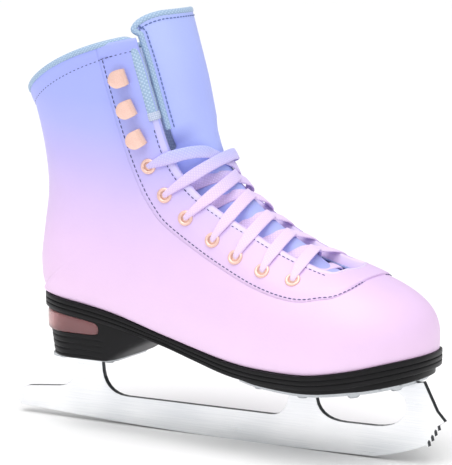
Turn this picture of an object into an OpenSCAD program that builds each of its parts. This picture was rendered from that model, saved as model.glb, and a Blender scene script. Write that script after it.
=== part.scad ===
// Ladies' lace-up figure skate, right foot: a padded boot on a black sole and
// heel, with a steel blade on two plates.
// X runs from heel to toe, Y from the outer side (-) to the inner side (+), Z up.
// The blade's lowest point is at Z = 0 and its middle at X = 0, in the plane Y = 0.

/* [Blade] */
// Length of the blade from tail to drag pick
blade_length = 280; // [276:1:284]
// Thickness of the blade
blade_t = 3.8; // [3.2:0.1:4.2]
// Radius of the rocker, the long curve of the skating edge
rocker_r = 2600; // [2200:100:3200]
// Number of short teeth under the drag pick
tooth_count = 4; // [3:1:5]
// How far the short teeth stand out
tooth_h = 2.2; // [1.5:0.1:2.6]

/* [Plates and screws] */
// Thickness of the two mounting plates
plate_t = 2; // [1.6:0.1:2.4]
// Radius of a screw's shank
screw_r = 1.75; // [1.5:0.05:2]
// Radius of a screw's pan head
screw_head_r = 3.4; // [3:0.1:4]

/* [Sole and heel] */
// Half width of the sole across the ball of the foot
ball_half = 46; // [44:0.5:47]
// Half width of the sole at the heel
heel_half = 31.3; // [30:0.1:32]
// Thickness of the pad between the sole and the front plate
pad_t = 4; // [3:0.5:5]
// Height of the heel's bottom face
heel_bottom_z = 43; // [42:0.5:44]
// Thickness of the clear window that wraps round the heel
window_t = 2.5; // [2:0.1:3]

/* [Boot] */
// Thickness of the boot's outer leather
leather_t = 1.6; // [1.4:0.1:1.7]
// Thickness of the lining
lining_t = 2; // [1.5:0.1:2.2]
// Thickness of the stiff parts between leather and lining
stiffener_t = 1.2; // [1:0.1:1.3]
// Thickness of the facing sewn over the leather
facing_t = 1.2; // [1:0.1:1.4]
// Thickness of the tongue's foam
tongue_foam_t = 3; // [2:0.1:3.5]

/* [Lacing] */
// Outer radius of an eyelet's flange
eyelet_r = 4.4; // [4:0.1:4.8]
// Radius of the hole through an eyelet
eyelet_bore_r = 2.4; // [2.2:0.1:2.5]
// Width of the flat lace
lace_w = 6.6; // [6:0.1:7]
// Thickness of the flat lace
lace_t = 1.4; // [1.2:0.1:1.5]
// Width of a lace hook
hook_w = 10; // [9:0.5:10.5]
// Length of a lace hook
hook_l = 11; // [10:0.5:11.5]

/* [Hidden] */
SIDES = ["outer", "inner"];

$fn = 48;
fit_gap = 0.05;
eps = 0.01;

// ---------------------------------------------------------------- curves
// Row k of a table, carried on in a straight line past its ends
function row(T, k) =
    let (n = len(T) - 1)
    k < 0 ? 2 * T[0] - T[1] : k > n ? 2 * T[n] - T[n - 1] : T[k];

// Smooth curve through the rows of a table, at row number s
function blend(T, s) =
    let (n = len(T) - 1, c = min(max(s, 0), n), i = min(floor(c), n - 1), t = c - i,
         a = row(T, i - 1), b = row(T, i), d = row(T, i + 1), e = row(T, i + 2))
    0.5 * (2 * b + (d - a) * t + (2 * a - 5 * b + 4 * d - e) * t * t
           + (3 * b - a - 3 * d + e) * t * t * t);

// Smooth curve through [x, value] pairs in rising x
function slope_at(T, i) =
    let (a = T[max(i - 1, 0)], b = T[min(i + 1, len(T) - 1)]) (b[1] - a[1]) / (b[0] - a[0]);
function curve(T, x) =
    let (n = len(T) - 1, c = min(max(x, T[0][0]), T[n][0]),
         i = max([for (k = [0:n - 1]) if (T[k][0] <= c) k]),
         h = T[i + 1][0] - T[i][0], t = (c - T[i][0]) / h,
         p = T[i][1], q = T[i + 1][1], m = slope_at(T, i) * h, k = slope_at(T, i + 1) * h)
    (2 * t * t * t - 3 * t * t + 1) * p + (t * t * t - 2 * t * t + t) * m
    + (3 * t * t - 2 * t * t * t) * q + (t * t * t - t * t) * k;

function smooth(t) = let (c = min(max(t, 0), 1)) c * c * (3 - 2 * c);
function lerp(a, b, t) = a + (b - a) * t;
function unit(v) = v / max(norm(v), 1e-9);
function super(d, n) = pow(max(1 - pow(min(abs(d), 1), n), 0), 1 / n);
function bezier(a, b, c, n) =
    [for (i = [0:n]) let (t = i / n) (1 - t) * (1 - t) * a + 2 * t * (1 - t) * b + t * t * c];

// ---------------------------------------------------------------- sole line
// Height of the sole's top face (the feather line) and of its bottom face
FEATHER = [[-118, 78.5], [-97, 78], [-60, 72.3], [-24, 63], [1, 57.5], [24, 53.4],
           [45, 51.7], [74, 51.8], [99, 55.5], [119, 60], [133, 62.5]];
TREAD = [[-118, 70.5], [-97, 69.9], [-60, 64.5], [-24, 57], [1, 50.8], [24, 45.9],
         [45, 44], [74, 43.8], [99, 46.8], [119, 50.6], [133, 53.5]];
function feather_z(x) = curve(FEATHER, x);
function tread_z(x) = curve(TREAD, x);
function plate_z(x) = tread_z(x) - pad_t - plate_t;

// The sole's plan: round toe, waist, round heel
toe_x = 75;
toe_len = 56;
heel_x = -84;
heel_len = 30;
plan_power = 2.1;
WAIST_OUT = [[-84, heel_half], [-65, 31.2], [-45, 31.2], [-20, 32.4], [0, 35], [20, 38.8],
             [45, 43.2], [75, ball_half]];
WAIST_IN = [[-84, heel_half], [-65, 31], [-45, 30.3], [-20, 29.6], [0, 30.6], [20, 34],
            [45, 40.5], [75, ball_half]];
function waist(side) = side < 0 ? WAIST_OUT : WAIST_IN;
// Half width of the plan at x, drawn in by an inset
function plan_half(x, side, inset = 0) =
    x >= toe_x ? (ball_half - inset) * super((x - toe_x) / (toe_len - inset), plan_power)
    : x <= heel_x ? (heel_half - inset) * super((heel_x - x) / (heel_len - inset), plan_power)
    : curve(waist(side), x) - inset;
// The toe leans a little towards the inner side
function lean(x) = 4.5 * pow(max(0, (x - toe_x) / toe_len), 2);

function toe_xs(inset) = [for (a = [6:6:90]) toe_x + (toe_len - inset) * sin(a)];
function heel_xs(inset) = [for (a = [90:-9:0]) heel_x - (heel_len - inset) * sin(a)];
function plan_xs(inset) = concat(heel_xs(inset), [for (x = [-78:9:75]) x], toe_xs(inset));
function plan_outline(inset) =
    let (xs = plan_xs(inset), n = len(xs))
    concat([for (i = [0:n - 1]) [xs[i], -plan_half(xs[i], -1, inset) + lean(xs[i])]],
           [for (i = [n - 2:-1:1]) [xs[i], plan_half(xs[i], 1, inset) + lean(xs[i])]]);

// ---------------------------------------------------------------- boot form
// Each row is one section through the boot, from the ball of the foot, round the
// ankle, to above the cuff: its bottom or back end (x, z), its top or front end
// (x, z), half widths outer and inner, how far up the widest place is, the roundness
// of the front and of the back, and how far the section bows upwards.
SECTIONS = [
    [75, 51.8, 84, 106, 45.3, 45.3, .25, 2.3, 2.3, 0],
    [50, 51.7, 67, 111.3, 44, 42, .26, 2.3, 2.3, 0],
    [20, 53.8, 51, 118.3, 40.5, 37.5, .28, 2.4, 2.3, 0],
    [-15, 61, 36, 127.3, 36.5, 34, .33, 2.5, 2.3, 0],
    [-50, 69.8, 21.5, 138, 33.5, 32.5, .38, 2.6, 2.3, 0],
    [-84, 76.3, 9.5, 149.2, 33, 32.5, .42, 2.6, 2.2, 0],
    [-104, 78.4, 4, 158, 33, 33, .43, 2.6, 2.4, 0],
    [-112, 79, -.5, 165, 33, 33, .44, 2.6, 2.8, 0],
    [-116.2, 94, -3.5, 173, 32.8, 32.8, .45, 2.6, 2.5, 0],
    [-115, 115, -6.5, 183, 33, 33, .46, 2.6, 2.2, 0],
    [-113, 135, -9.5, 194.5, 34, 34, .47, 2.6, 2, 1],
    [-114, 155, -12.5, 207, 35.5, 35.5, .48, 2.5, 2, 2.5],
    [-117.5, 174, -16, 219.5, 37, 37, .48, 2.4, 2, 5],
    [-122.5, 192, -20, 231.5, 38.5, 38.5, .48, 2.4, 2, 8],
    [-128, 210, -24.5, 246, 39, 39, .48, 2.4, 2, 6]];
cuff_s = 13;
back_s = 7;
welt = 2.2;
toe_tip = 129.5;
toe_drop = 0.36;
toe_power = 3.6;
toe_front_power = 2.3;
wide_v = 0.6;
floor_gap = 0.2;

// The ends of section s on a layer that lies d inside the boot's outer face
function rear_end(s, d) =
    let (r = blend(SECTIONS, s), x = r[0], back = max(0, (heel_x - x) / (heel_len - 2)))
    s < back_s ? [x + d * min(back, 1), feather_z(x) + floor_gap] : [x + d, r[1]];
function front_end(s, d) =
    let (r = blend(SECTIONS, s), u = unit([r[2] - r[0], r[3] - r[1]]))
    [r[2] - u[0] * d, r[3] - u[1] * d];
function edge_half(x, side, d) =
    x <= heel_x ? (heel_half - welt - d) * super((heel_x - x) / (heel_len - 2 - d), plan_power)
    : plan_half(x, side) - welt - d;

// Point of the toe cap: s from -1 at the tip to 0 at the ball
function toe_section(s, side, d) =
    let (q = sin(-s * 90), tip = toe_tip - d, r = SECTIONS[0],
         a = rear_end(0, d), b = front_end(0, d),
         rx = a[0] + (tip - a[0]) * q, fx = b[0] + (tip - b[0]) * q,
         low = feather_z(tip) + floor_gap,
         fz = low + (b[1] - toe_drop * (fx - b[0]) - low) * super(q, toe_power),
         w = super(q, plan_power))
    [rx, feather_z(rx) + floor_gap, fx, max(fz, feather_z(rx) + floor_gap + 0.5),
     (r[side < 0 ? 4 : 5] - d) * w, (ball_half - welt - d) * w, r[6], r[7], toe_front_power, 0];
function boot_section(s, side, d) =
    s < 0 ? toe_section(s, side, d)
    : let (r = blend(SECTIONS, s), a = rear_end(s, d), b = front_end(s, d),
           edge = s < back_s ? max(edge_half(a[0], side, d), 0) : 0)
      [a[0], a[1], b[0], b[1], max(r[side < 0 ? 4 : 5] - d, edge), edge, r[6], r[7], r[8], r[9]];

// Point of the boot: v runs from 0 on the front ridge to 1 at the sole or the back
function boot(s, side, v, d = 0) =
    let (c = boot_section(s, side, d),
         front = v <= wide_v,
         a = front ? v / wide_v * 90 : (v - wide_v) / (1 - wide_v) * 90,
         t = front ? c[6] + (1 - c[6]) * pow(max(cos(a), 0), 2 / c[7])
                   : c[6] * (1 - pow(sin(a), 2 / c[8])),
         y = front ? c[4] * pow(sin(a), 2 / c[7])
                   : c[5] + (c[4] - c[5]) * pow(max(cos(a), 0), 2 / c[8]),
         dx = c[2] - c[0], dz = c[3] - c[1], l = max(norm([dx, dz]), 1e-6),
         bow = c[9] * 4 * t * (1 - t),
         x = c[0] + dx * t - dz / l * bow,
         z = c[1] + dz * t + dx / l * bow)
    [x, side * y + lean(x), z];
// Outward normal of the boot
function boot_normal(s, side, v) =
    let (h = 0.02, a = boot(s + h, side, v) - boot(s - h, side, v),
         b = boot(s, side, v + h) - boot(s, side, v - h))
    -side * unit(cross(a, b));

// Edge of the throat, where the facings end, and the facing's sewn outer edge
THROAT_V = [[.25, .152], [1, .155], [2, .170], [3, .197], [4, .239], [5, .265], [6, .278],
            [7, .284], [8, .303], [9, .323], [10, .336], [11, .341], [12, .338], [13, .338]];
throat_s = -0.04;
function throat_v(s) =
    s <= throat_s ? 0
    : s < .25 ? .152 * super((.25 - s) / (.25 - throat_s), 2) : curve(THROAT_V, s);
SEAM_V = [[0, .333], [.5, .378], [1, .4], [2, .423], [3, .444], [4, .465], [5, .467], [6, .456],
          [7, .452], [8, .466], [9, .491], [10, .513], [11, .523], [12, .52], [13, .512]];
seam_s = -0.17;
function seam_v(s) =
    s <= seam_s ? 0 : s < 0 ? .333 * super(s / seam_s, 2.4) : curve(SEAM_V, s);

// Rows along the boot that every layer shares
ROWS = [-.985, -.94, -.87, -.78, -.67, -.55, -.42, -.28, seam_s, -.12, -.08, throat_s, 0, .1,
        .25, .6, 1, 1.5, 2, 2.5, 3, 3.5, 4, 4.5, 5, 5.5, 6, 6.4, 6.7, 6.9, 7, 7.5, 8, 8.7,
        9.4, 10.1, 10.8, 11.5, 12.2, cuff_s];
function rows_between(a, b) = [for (s = ROWS) if (s >= a - eps && s <= b + eps) s];

// ---------------------------------------------------------------- layers
// One layer of the boot as a closed solid. S lists its rows, A and B the v of its two
// edges in each row, and depth the depths of its outer and inner faces in each row and
// column. Rows up to ridge share their first column, rows from back on share their
// last one, and cap closes the first row.
function layer_points(S, A, B, depth, cols) =
    [for (L = [0, 1], side = [-1, 1], i = [0:len(S) - 1], j = [0:cols])
        let (v = lerp(A[i], B[i], j / cols)) boot(S[i], side, v, depth[L][i][j])];
function layer_index(n, cols, ridge, back, L, k, i, j) =
    let (side = (j == 0 && i <= ridge) || (j == cols && i >= back) ? 0 : k)
    ((L * 2 + side) * n + i) * (cols + 1) + j;
function two(a, b, c, d, flip) =
    flip ? [[a, c, b], [a, d, c]] : [[a, b, c], [a, c, d]];
function layer_faces(n, cols, ridge, back, cap) =
    let (f = function (L, k, i, j) layer_index(n, cols, ridge, back, L, k, i, j))
    [for (q = concat(
        [for (L = [0, 1], k = [0, 1], i = [0:n - 2], j = [0:cols - 1])
            two(f(L, k, i, j), f(L, k, i + 1, j), f(L, k, i + 1, j + 1), f(L, k, i, j + 1),
                (L + k) % 2 == 0)],
        [for (k = [0, 1], i = [0:n - 2]) if (i >= ridge)
            two(f(0, k, i, 0), f(0, k, i + 1, 0), f(1, k, i + 1, 0), f(1, k, i, 0), k == 1)],
        [for (k = [0, 1], i = [0:n - 2]) if (i < back)
            two(f(0, k, i, cols), f(0, k, i + 1, cols), f(1, k, i + 1, cols),
                f(1, k, i, cols), k == 0)],
        [for (k = [0, 1], j = [0:cols - 1])
            two(f(0, k, n - 1, j), f(0, k, n - 1, j + 1), f(1, k, n - 1, j + 1),
                f(1, k, n - 1, j), k == 1)],
        [for (k = [0, 1], j = [0:cols - 1]) if (!cap)
            two(f(0, k, 0, j), f(0, k, 0, j + 1), f(1, k, 0, j + 1), f(1, k, 0, j), k == 0)],
        [for (L = [0, 1], j = [0:cols - 1]) if (cap)
            two(f(L, 0, 0, j), f(L, 0, 0, j + 1), f(L, 1, 0, j + 1), f(L, 1, 0, j), L == 0)],
        [if (cap) two(f(0, 0, 0, cols), f(0, 1, 0, cols), f(1, 1, 0, cols), f(1, 0, 0, cols),
                      false)]),
     t = q) if (t[0] != t[1] && t[1] != t[2] && t[0] != t[2]) t];

function same_depth(n, cols, d) = [for (i = [1:n]) [for (j = [0:cols]) d]];
module layer(S, A, B, top, thick, cols, ridge = -1, back = 999, cap = false) {
    n = len(S);
    outer = is_num(top) ? same_depth(n, cols, top) : top;
    inner = [for (r = outer) [for (d = r) d + thick]];
    polyhedron(points = layer_points(S, A, B, [outer, inner], cols),
               faces = layer_faces(n, cols, ridge, back, cap), convexity = 8);
}

// One side of a layer on its own
module half_layer(S, A, B, top, thick, cols, side) {
    n = len(S);
    pts = [for (L = [0, 1], i = [0:n - 1], j = [0:cols])
        boot(S[i], side, lerp(A[i], B[i], j / cols), top + L * thick)];
    f = function (L, i, j) (L * n + i) * (cols + 1) + j;
    w = side < 0;
    quads = concat(
        [for (L = [0, 1], i = [0:n - 2], j = [0:cols - 1])
            two(f(L, i, j), f(L, i + 1, j), f(L, i + 1, j + 1), f(L, i, j + 1),
                (L == 0) == w)],
        [for (i = [0:n - 2], j = [0, cols])
            two(f(0, i, j), f(0, i + 1, j), f(1, i + 1, j), f(1, i, j), (j == 0) != w)],
        [for (j = [0:cols - 1], i = [0, n - 1])
            two(f(0, i, j), f(0, i, j + 1), f(1, i, j + 1), f(1, i, j), (i == 0) == w)]);
    polyhedron(points = pts, faces = [for (q = quads, t = q) t], convexity = 6);
}

// A tube of any closed cross section through rings of points
module tube(rings) {
    n = len(rings);
    m = len(rings[0]);
    faces = concat(
        [for (i = [0:n - 2], j = [0:m - 1], t = two(i * m + j, i * m + (j + 1) % m,
            (i + 1) * m + (j + 1) % m, (i + 1) * m + j, true)) t],
        [for (j = [1:m - 2]) [0, j, j + 1]],
        [for (j = [1:m - 2]) [(n - 1) * m, (n - 1) * m + j + 1, (n - 1) * m + j]]);
    polyhedron(points = [for (r = rings, p = r) p], faces = faces, convexity = 10);
}
function heading(P, i) = unit(P[min(i + 1, len(P) - 1)] - P[max(i - 1, 0)]);

// ---------------------------------------------------------------- blade
tail_x = -blade_length / 2;
pick_x = blade_length / 2;
rocker_mid = 18;
function edge_z(x) = (x - rocker_mid) * (x - rocker_mid) / (2 * rocker_r);
pick_low = [128.5, 11.2];
pick_high = [136.3, 24];
function tooth(i) =
    let (d = unit(pick_high - pick_low), out = [d[1], -d[0]],
         pitch = norm(pick_high - pick_low) / tooth_count, a = pick_low + d * pitch * i)
    [a, a + d * pitch * .1 + out * tooth_h, a + d * pitch * .62 + out * .3];
blade_outline = concat(
    [[tail_x + 1.5, 4.4], [tail_x, 7.5]],
    bezier([tail_x, 7.5], [tail_x + .6, 16.3], [-131, 16.6], 6),
    bezier([-111, 18.6], [-99, 20], [-98, 36], 8),
    [[-97.5, heel_bottom_z - plate_t], [-81, heel_bottom_z - plate_t]],
    bezier([-81, 35], [-80.5, 17.6], [-64, 17.1], 8),
    bezier([32, 17.6], [42.6, 18], [43.5, 31], 8),
    [for (x = [44:4:60]) [x, plate_z(x)]],
    bezier([60.5, 33], [60.5, 18.4], [79, 18.3], 8),
    bezier([98, 18.6], [116, 19.6], [116.5, 31], 8),
    bezier([116.5, 33], [116, 38.5], [104, plate_z(104)], 6),
    [for (x = [108:4:124]) [x, plate_z(x)]],
    [[127, plate_z(124) + .6], [135.2, 30.4], [pick_x, 25.4]],
    [for (i = [tooth_count - 1:-1:0]) each [tooth(i)[2], tooth(i)[1], tooth(i)[0]]],
    bezier([126.8, 10.2], [114, 4.6], [97, edge_z(97)], 6),
    [for (x = [84:-14:-126]) [x, edge_z(x)]]);

module blade_runner() {
    color("silver")
        rotate([90, 0, 0])
            linear_extrude(height = blade_t, center = true)
                polygon(blade_outline);
}

// ---------------------------------------------------------------- plates
SOLE_SCREWS = [for (p = [[36, 22], [66, 27], [96, 25], [115, 13]], k = [-1, 1]) [p[0], p[1] * k]];
HEEL_SCREWS = [for (x = [-99, -68], k = [-1, 1]) [x, 14 * k]];
screw_l = 11;

module at_sole(p) {
    tilt = atan((plate_z(p[0] + 1) - plate_z(p[0] - 1)) / 2);
    translate([p[0], p[1] + lean(p[0]), plate_z(p[0])]) rotate([0, -tilt, 0]) children();
}
module at_heel(p) {
    translate([p[0], p[1], heel_bottom_z - plate_t]) children();
}
module hole(r) {
    translate([0, 0, -3]) cylinder(r = r, h = screw_l + 6);
}
module sole_holes(r) {
    for (p = SOLE_SCREWS) at_sole(p) hole(r);
}
module heel_holes(r) {
    for (p = HEEL_SCREWS) at_heel(p) hole(r);
}
module screw() {
    translate([0, 0, -1.7]) cylinder(r1 = screw_head_r - .9, r2 = screw_head_r, h = .9);
    translate([0, 0, -.8]) cylinder(r = screw_head_r, h = .8 - fit_gap);
    translate([0, 0, -.9]) cylinder(r = screw_r, h = screw_l);
}

// The front plate's half width along X, up to where its round front end begins
PLATE_HALF = [[24, 24], [40, 29], [70, 33], [96, 29]];
plate_start = PLATE_HALF[0][0];
plate_turn = PLATE_HALF[len(PLATE_HALF) - 1][0];
plate_nose = 28;
plate_power = 2.2;
pad_grow = 3.5;
function plate_half(x) =
    x > plate_turn
    ? PLATE_HALF[len(PLATE_HALF) - 1][1] * super((x - plate_turn) / plate_nose, plate_power)
    : curve(PLATE_HALF, x);
function plate_outline(grow) =
    let (nose = plate_nose + grow,
         xs = concat([plate_start - grow], [for (x = [plate_start + 8:8:plate_turn]) x],
                     [for (a = [18:12:90]) plate_turn + nose * sin(a)]),
         n = len(xs),
         shrink = function (x) plate_turn + (x - plate_turn) * plate_nose / nose,
         half = function (x)
             plate_half(min(max(plate_start, shrink(x)), plate_turn + plate_nose)) + grow)
    concat([for (i = [0:n - 1]) [xs[i], -half(xs[i]) + lean(xs[i])]],
           [for (i = [n - 1:-1:0]) [xs[i], half(xs[i]) + lean(xs[i])]]);
// A side view carried right through the boot's width
through = 120;
module upright(points) {
    rotate([90, 0, 0]) linear_extrude(height = through, center = true) polygon(points);
}
// A slab that follows the sole's bottom, between two drops below it
module under_sole(x0, x1, step, drop_a, drop_b) {
    upright(concat([for (x = [x0:step:x1]) [x, tread_z(x) - drop_a]],
                   [for (x = [x1:-step:x0]) [x, tread_z(x) - drop_b]]));
}

module sole_plate() {
    color("gainsboro")
        difference() {
            intersection() {
                under_sole(20, 128, 4, pad_t, pad_t + plate_t);
                linear_extrude(height = through) polygon(plate_outline(0));
            }
            sole_holes(screw_r + .15);
        }
}

module heel_plate() {
    color("gainsboro")
        difference() {
            translate([0, 0, heel_bottom_z - plate_t])
                linear_extrude(height = plate_t)
                    hull() {
                        for (k = [-1, 1]) {
                            translate([-97, 14 * k]) circle(r = 8);
                            translate([-69, 14 * k]) circle(r = 8);
                        }
                    }
            heel_holes(screw_r + .15);
        }
}

module sole_plate_screws() {
    color("lightgray") for (p = SOLE_SCREWS) at_sole(p) screw();
}

module heel_plate_screws() {
    color("lightgray") for (p = HEEL_SCREWS) at_heel(p) screw();
}

// ---------------------------------------------------------------- sole and heel
shank_w = 14;
shank_t = 1.2;
SHANK_X = [-78, 14];

SOLE_XS = [for (x = [-116:5:134]) x];

module outsole() {
    xs = SOLE_XS;
    n = len(xs);
    color("#141414")
        difference() {
            intersection() {
                upright(concat([for (x = xs) [x, tread_z(x)]],
                               [for (i = [n - 1:-1:0]) [xs[i], feather_z(xs[i])]]));
                linear_extrude(height = through) polygon(plan_outline(0));
            }
            shank_blank(fit_gap, 4);
            sole_holes(screw_r + fit_gap);
        }
}

// The bent steel strip that stiffens the waist, let into the top of the sole
module shank_blank(grow, rise) {
    xs = [for (x = [SHANK_X[0]:4:SHANK_X[1]]) x];
    n = len(xs);
    intersection() {
        upright(concat([for (i = [0:n - 1])
                            [xs[i] + (i == 0 ? -grow : i == n - 1 ? grow : 0),
                             feather_z(xs[i]) - shank_t - grow]],
                       [for (i = [n - 1:-1:0])
                            [xs[i] + (i == 0 ? -grow : i == n - 1 ? grow : 0),
                             feather_z(xs[i]) + rise]]));
        translate([SHANK_X[0] - 1, -shank_w / 2 - grow, 0])
            cube([SHANK_X[1] - SHANK_X[0] + 2, shank_w + 2 * grow, through]);
    }
}
module shank() {
    color("gray") shank_blank(0, 0);
}

module forepart_pad() {
    color("#0e0e0e")
        difference() {
            intersection() {
                under_sole(16, 132, 4, 0, pad_t);
                linear_extrude(height = through) polygon(plate_outline(pad_grow));
            }
            sole_holes(screw_r + fit_gap);
        }
}

// The heel's breast sweeps forward from its bottom edge to the waist of the sole
heel_back_x = -112;
breast_x = -58;
breast_end_x = -28;
heel_inset = 1.5;
function heel_top(x) = tread_z(x);
module heel_profile() {
    upright(concat(
        [for (x = [heel_back_x - 2:5:breast_end_x]) [x, heel_top(x)]],
        [[breast_end_x, heel_top(breast_end_x) - .2]],
        bezier([breast_end_x, heel_top(breast_end_x) - .4], [-46, 51], [breast_x, heel_bottom_z], 8),
        [[-107, heel_bottom_z], [heel_back_x, 69]]));
}
module heel_plan(inset) {
    linear_extrude(height = through) polygon(plan_outline(inset));
}

window_z = 57.5;
window_front_x = -65;
window_drop = 1.2;
window_gap = .15;
core_gap = .2;
core_t = 3;
// The band of the heel's side that the window fills, between two insets
module window_band(inset_a, inset_b, low, high, front) {
    difference() {
        intersection() {
            heel_plan(inset_a);
            upright(concat([for (x = [-118:5:front]) [x, heel_top(x) - high]],
                           [[front, heel_top(front) - high], [front + 1.5, low + 4],
                            [front, low], [-118, low]]));
        }
        heel_plan(inset_b);
    }
}

module heel_block() {
    pocket = heel_inset + window_t + core_t + 2 * core_gap;
    color("#161616")
        difference() {
            intersection() {
                heel_profile();
                heel_plan(heel_inset);
            }
            window_band(0, pocket, window_z, window_drop, window_front_x);
            heel_holes(screw_r + fit_gap);
        }
}
module heel_window() {
    color("#c98f92", 0.5)
        window_band(heel_inset - core_gap, heel_inset + window_t, window_z + window_gap,
                    window_drop + window_gap, window_front_x - core_gap);
}
module heel_core() {
    color("#a86a72")
        window_band(heel_inset + window_t + core_gap, heel_inset + window_t + core_t,
                    window_z + window_gap, window_drop + window_gap, window_front_x - 3 * core_gap);
}

// ---------------------------------------------------------------- inside the boot
board_t = 2.5;
footbed_t = 4;
board_inset = welt + leather_t + .4 + stiffener_t + .4 + lining_t + .6;
module inner_slab(a, b) {
    xs = SOLE_XS;
    n = len(xs);
    intersection() {
        upright(concat([for (x = xs) [x, feather_z(x) + a]],
                       [for (i = [n - 1:-1:0]) [xs[i], feather_z(xs[i]) + b]]));
        linear_extrude(height = through) polygon(plan_outline(board_inset));
    }
}
module insole_board() {
    color("burlywood") inner_slab(.05, board_t);
}
module footbed() {
    color("#cdbfe8") inner_slab(board_t + .1, board_t + footbed_t);
}

// ---------------------------------------------------------------- boot layers
stiff_d = leather_t + .4;
lining_d = stiff_d + stiffener_t + .4;
inside_d = lining_d + lining_t;
cols = 10;

function throat_list(S) = [for (s = S) throat_v(s)];
function seam_list(S, off = 0) = [for (s = S) max(seam_v(s) + off, 0)];
function fill(S, v) = [for (s = S) v];
function find_row(S, s) = search(1, [for (x = S) abs(x - s) < eps ? 1 : 0])[0];

// Where the laces pass through: row and v of each eyelet, from top to bottom
EYELETS = [[8.3, .41], [6.2, .385], [4.7, .385], [3.7, .375], [2.9, .36], [2.05, .33],
           [1.1, .29]];
HOOKS = [[11.8, .45], [10.75, .455], [9.6, .44]];
module on_boot(s, side, v, d) {
    n = boot_normal(s, side, v);
    translate(boot(s, side, v) - n * d)
        rotate([0, acos(n[2]), atan2(n[1], n[0])])
            children();
}
module lace_holes(r) {
    for (side = [-1, 1], e = EYELETS)
        on_boot(e[0], side, e[1], 12) cylinder(r = r, h = 18);
}

module upper() {
    S = ROWS;
    color("#cdbcf2")
        difference() {
            layer(S, throat_list(S), fill(S, 1), 0, leather_t, cols,
                  ridge = find_row(S, throat_s), back = find_row(S, back_s), cap = true);
            lace_holes(eyelet_bore_r + .5);
        }
}
module lining() {
    S = ROWS;
    color("#b9c7e8")
        difference() {
            layer(S, throat_list(S), fill(S, 1), lining_d, lining_t, cols,
                  ridge = find_row(S, throat_s), back = find_row(S, back_s), cap = true);
            lace_holes(eyelet_bore_r + .5);
        }
}
module facing() {
    S = rows_between(-.12, cuff_s);
    color("#c4bdf6")
        difference() {
            layer(S, throat_list(S), seam_list(S), -facing_t, facing_t - fit_gap, 3,
                  ridge = find_row(S, throat_s));
            lace_holes(eyelet_bore_r + .5);
        }
}
module facing_stiffener() {
    S = rows_between(.6, 12.2);
    color("#e8e4da")
        difference() {
            for (side = [-1, 1])
                half_layer(S, [for (s = S) throat_v(s) + .02], seam_list(S, -.02), stiff_d,
                           stiffener_t, 3, side);
            lace_holes(eyelet_bore_r + .5);
        }
}
module back_stay() {
    S = rows_between(7.5, cuff_s);
    color("#b7b9f2")
        layer(S, fill(S, .9), fill(S, 1), -.9, .9 - fit_gap, 3, back = 0);
}
module toe_box() {
    S = rows_between(-.94, -.28);
    color("#d9cdb4")
        layer(S, fill(S, 0), fill(S, .92), stiff_d, stiffener_t, 8, ridge = 99, cap = true);
}
module heel_counter() {
    S = rows_between(5, 9.4);
    color("#d9cdb4")
        layer(S, fill(S, .76), fill(S, 1), stiff_d, stiffener_t, 4, back = find_row(S, back_s));
}
module ankle_pad(side) {
    S = rows_between(5.5, 10.8);
    color("#e6e6e0")
        half_layer(S, seam_list(S, .03), fill(S, .73), stiff_d, stiffener_t, 3, side);
}
module collar_foam() {
    S = rows_between(11.5, cuff_s - .1);
    color("#e6e6e0")
        layer(S, seam_list(S, .03), fill(S, 1), stiff_d, stiffener_t, 7, back = 0);
}

// Binding rolled over the cuff's edge and, slimmer, down the front edges of both facings
binding_r = 3;
binding_front_r = 1.7;
binding_low_s = 10.1;
function binding_path() =
    let (h = cuff_s + .06,
         down = [for (s = [binding_low_s:.7:cuff_s - .4]) [s, throat_v(s) - .002]],
         across = [for (i = [0:9]) [h, lerp(throat_v(cuff_s) + .03, 1, i / 9)]])
    concat([for (p = down) [p[0], -1, p[1]]], [for (p = across) [p[0], -1, p[1]]],
           [for (i = [8:-1:0]) [across[i][0], 1, across[i][1]]],
           [for (i = [len(down) - 1:-1:0]) [down[i][0], 1, down[i][1]]]);
// Half-round section: flat towards the boot's edge, round outwards
edge_lift = .3;
function half_round(c, n, out, thick, high) =
    [for (a = [-90:36:90]) c + n * thick / 2 * sin(a) + out * high * max(cos(a), .02)];
module collar_binding() {
    path = binding_path();
    mid = (inside_d - facing_t) / 2;
    P = [for (p = path) boot(p[0], p[1], p[2], 0) - boot_normal(p[0], p[1], p[2]) * mid];
    color("#9fc0dd")
        tube([for (i = [0:len(P) - 1])
            let (n = boot_normal(path[i][0], path[i][1], path[i][2]),
                 out = unit(cross(heading(P, i), n)),
                 high = path[i][0] < cuff_s ? binding_front_r : binding_r)
            half_round(P[i] + out * edge_lift, n, out, inside_d + facing_t, high)]);
}

// ---------------------------------------------------------------- tongue
tongue_leather_t = 1.2;
tongue_lining_t = 1;
tongue_top_s = 13.85;
hinge_gap = [8.75, 9.45];
TONGUE_ROWS = [-.3, .1, .6, 1.3, 2, 3, 4, 5, 6, 7, 7.8, 8.3, hinge_gap[0], hinge_gap[1], 10.1, 11,
               12, 13, 13.2, 13.4, 13.65, 13.78, tongue_top_s];
under_d = inside_d + lace_t + 1;
// How far the tongue's top stays from the edges of the throat, in v
tongue_clear_v = .03;
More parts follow.
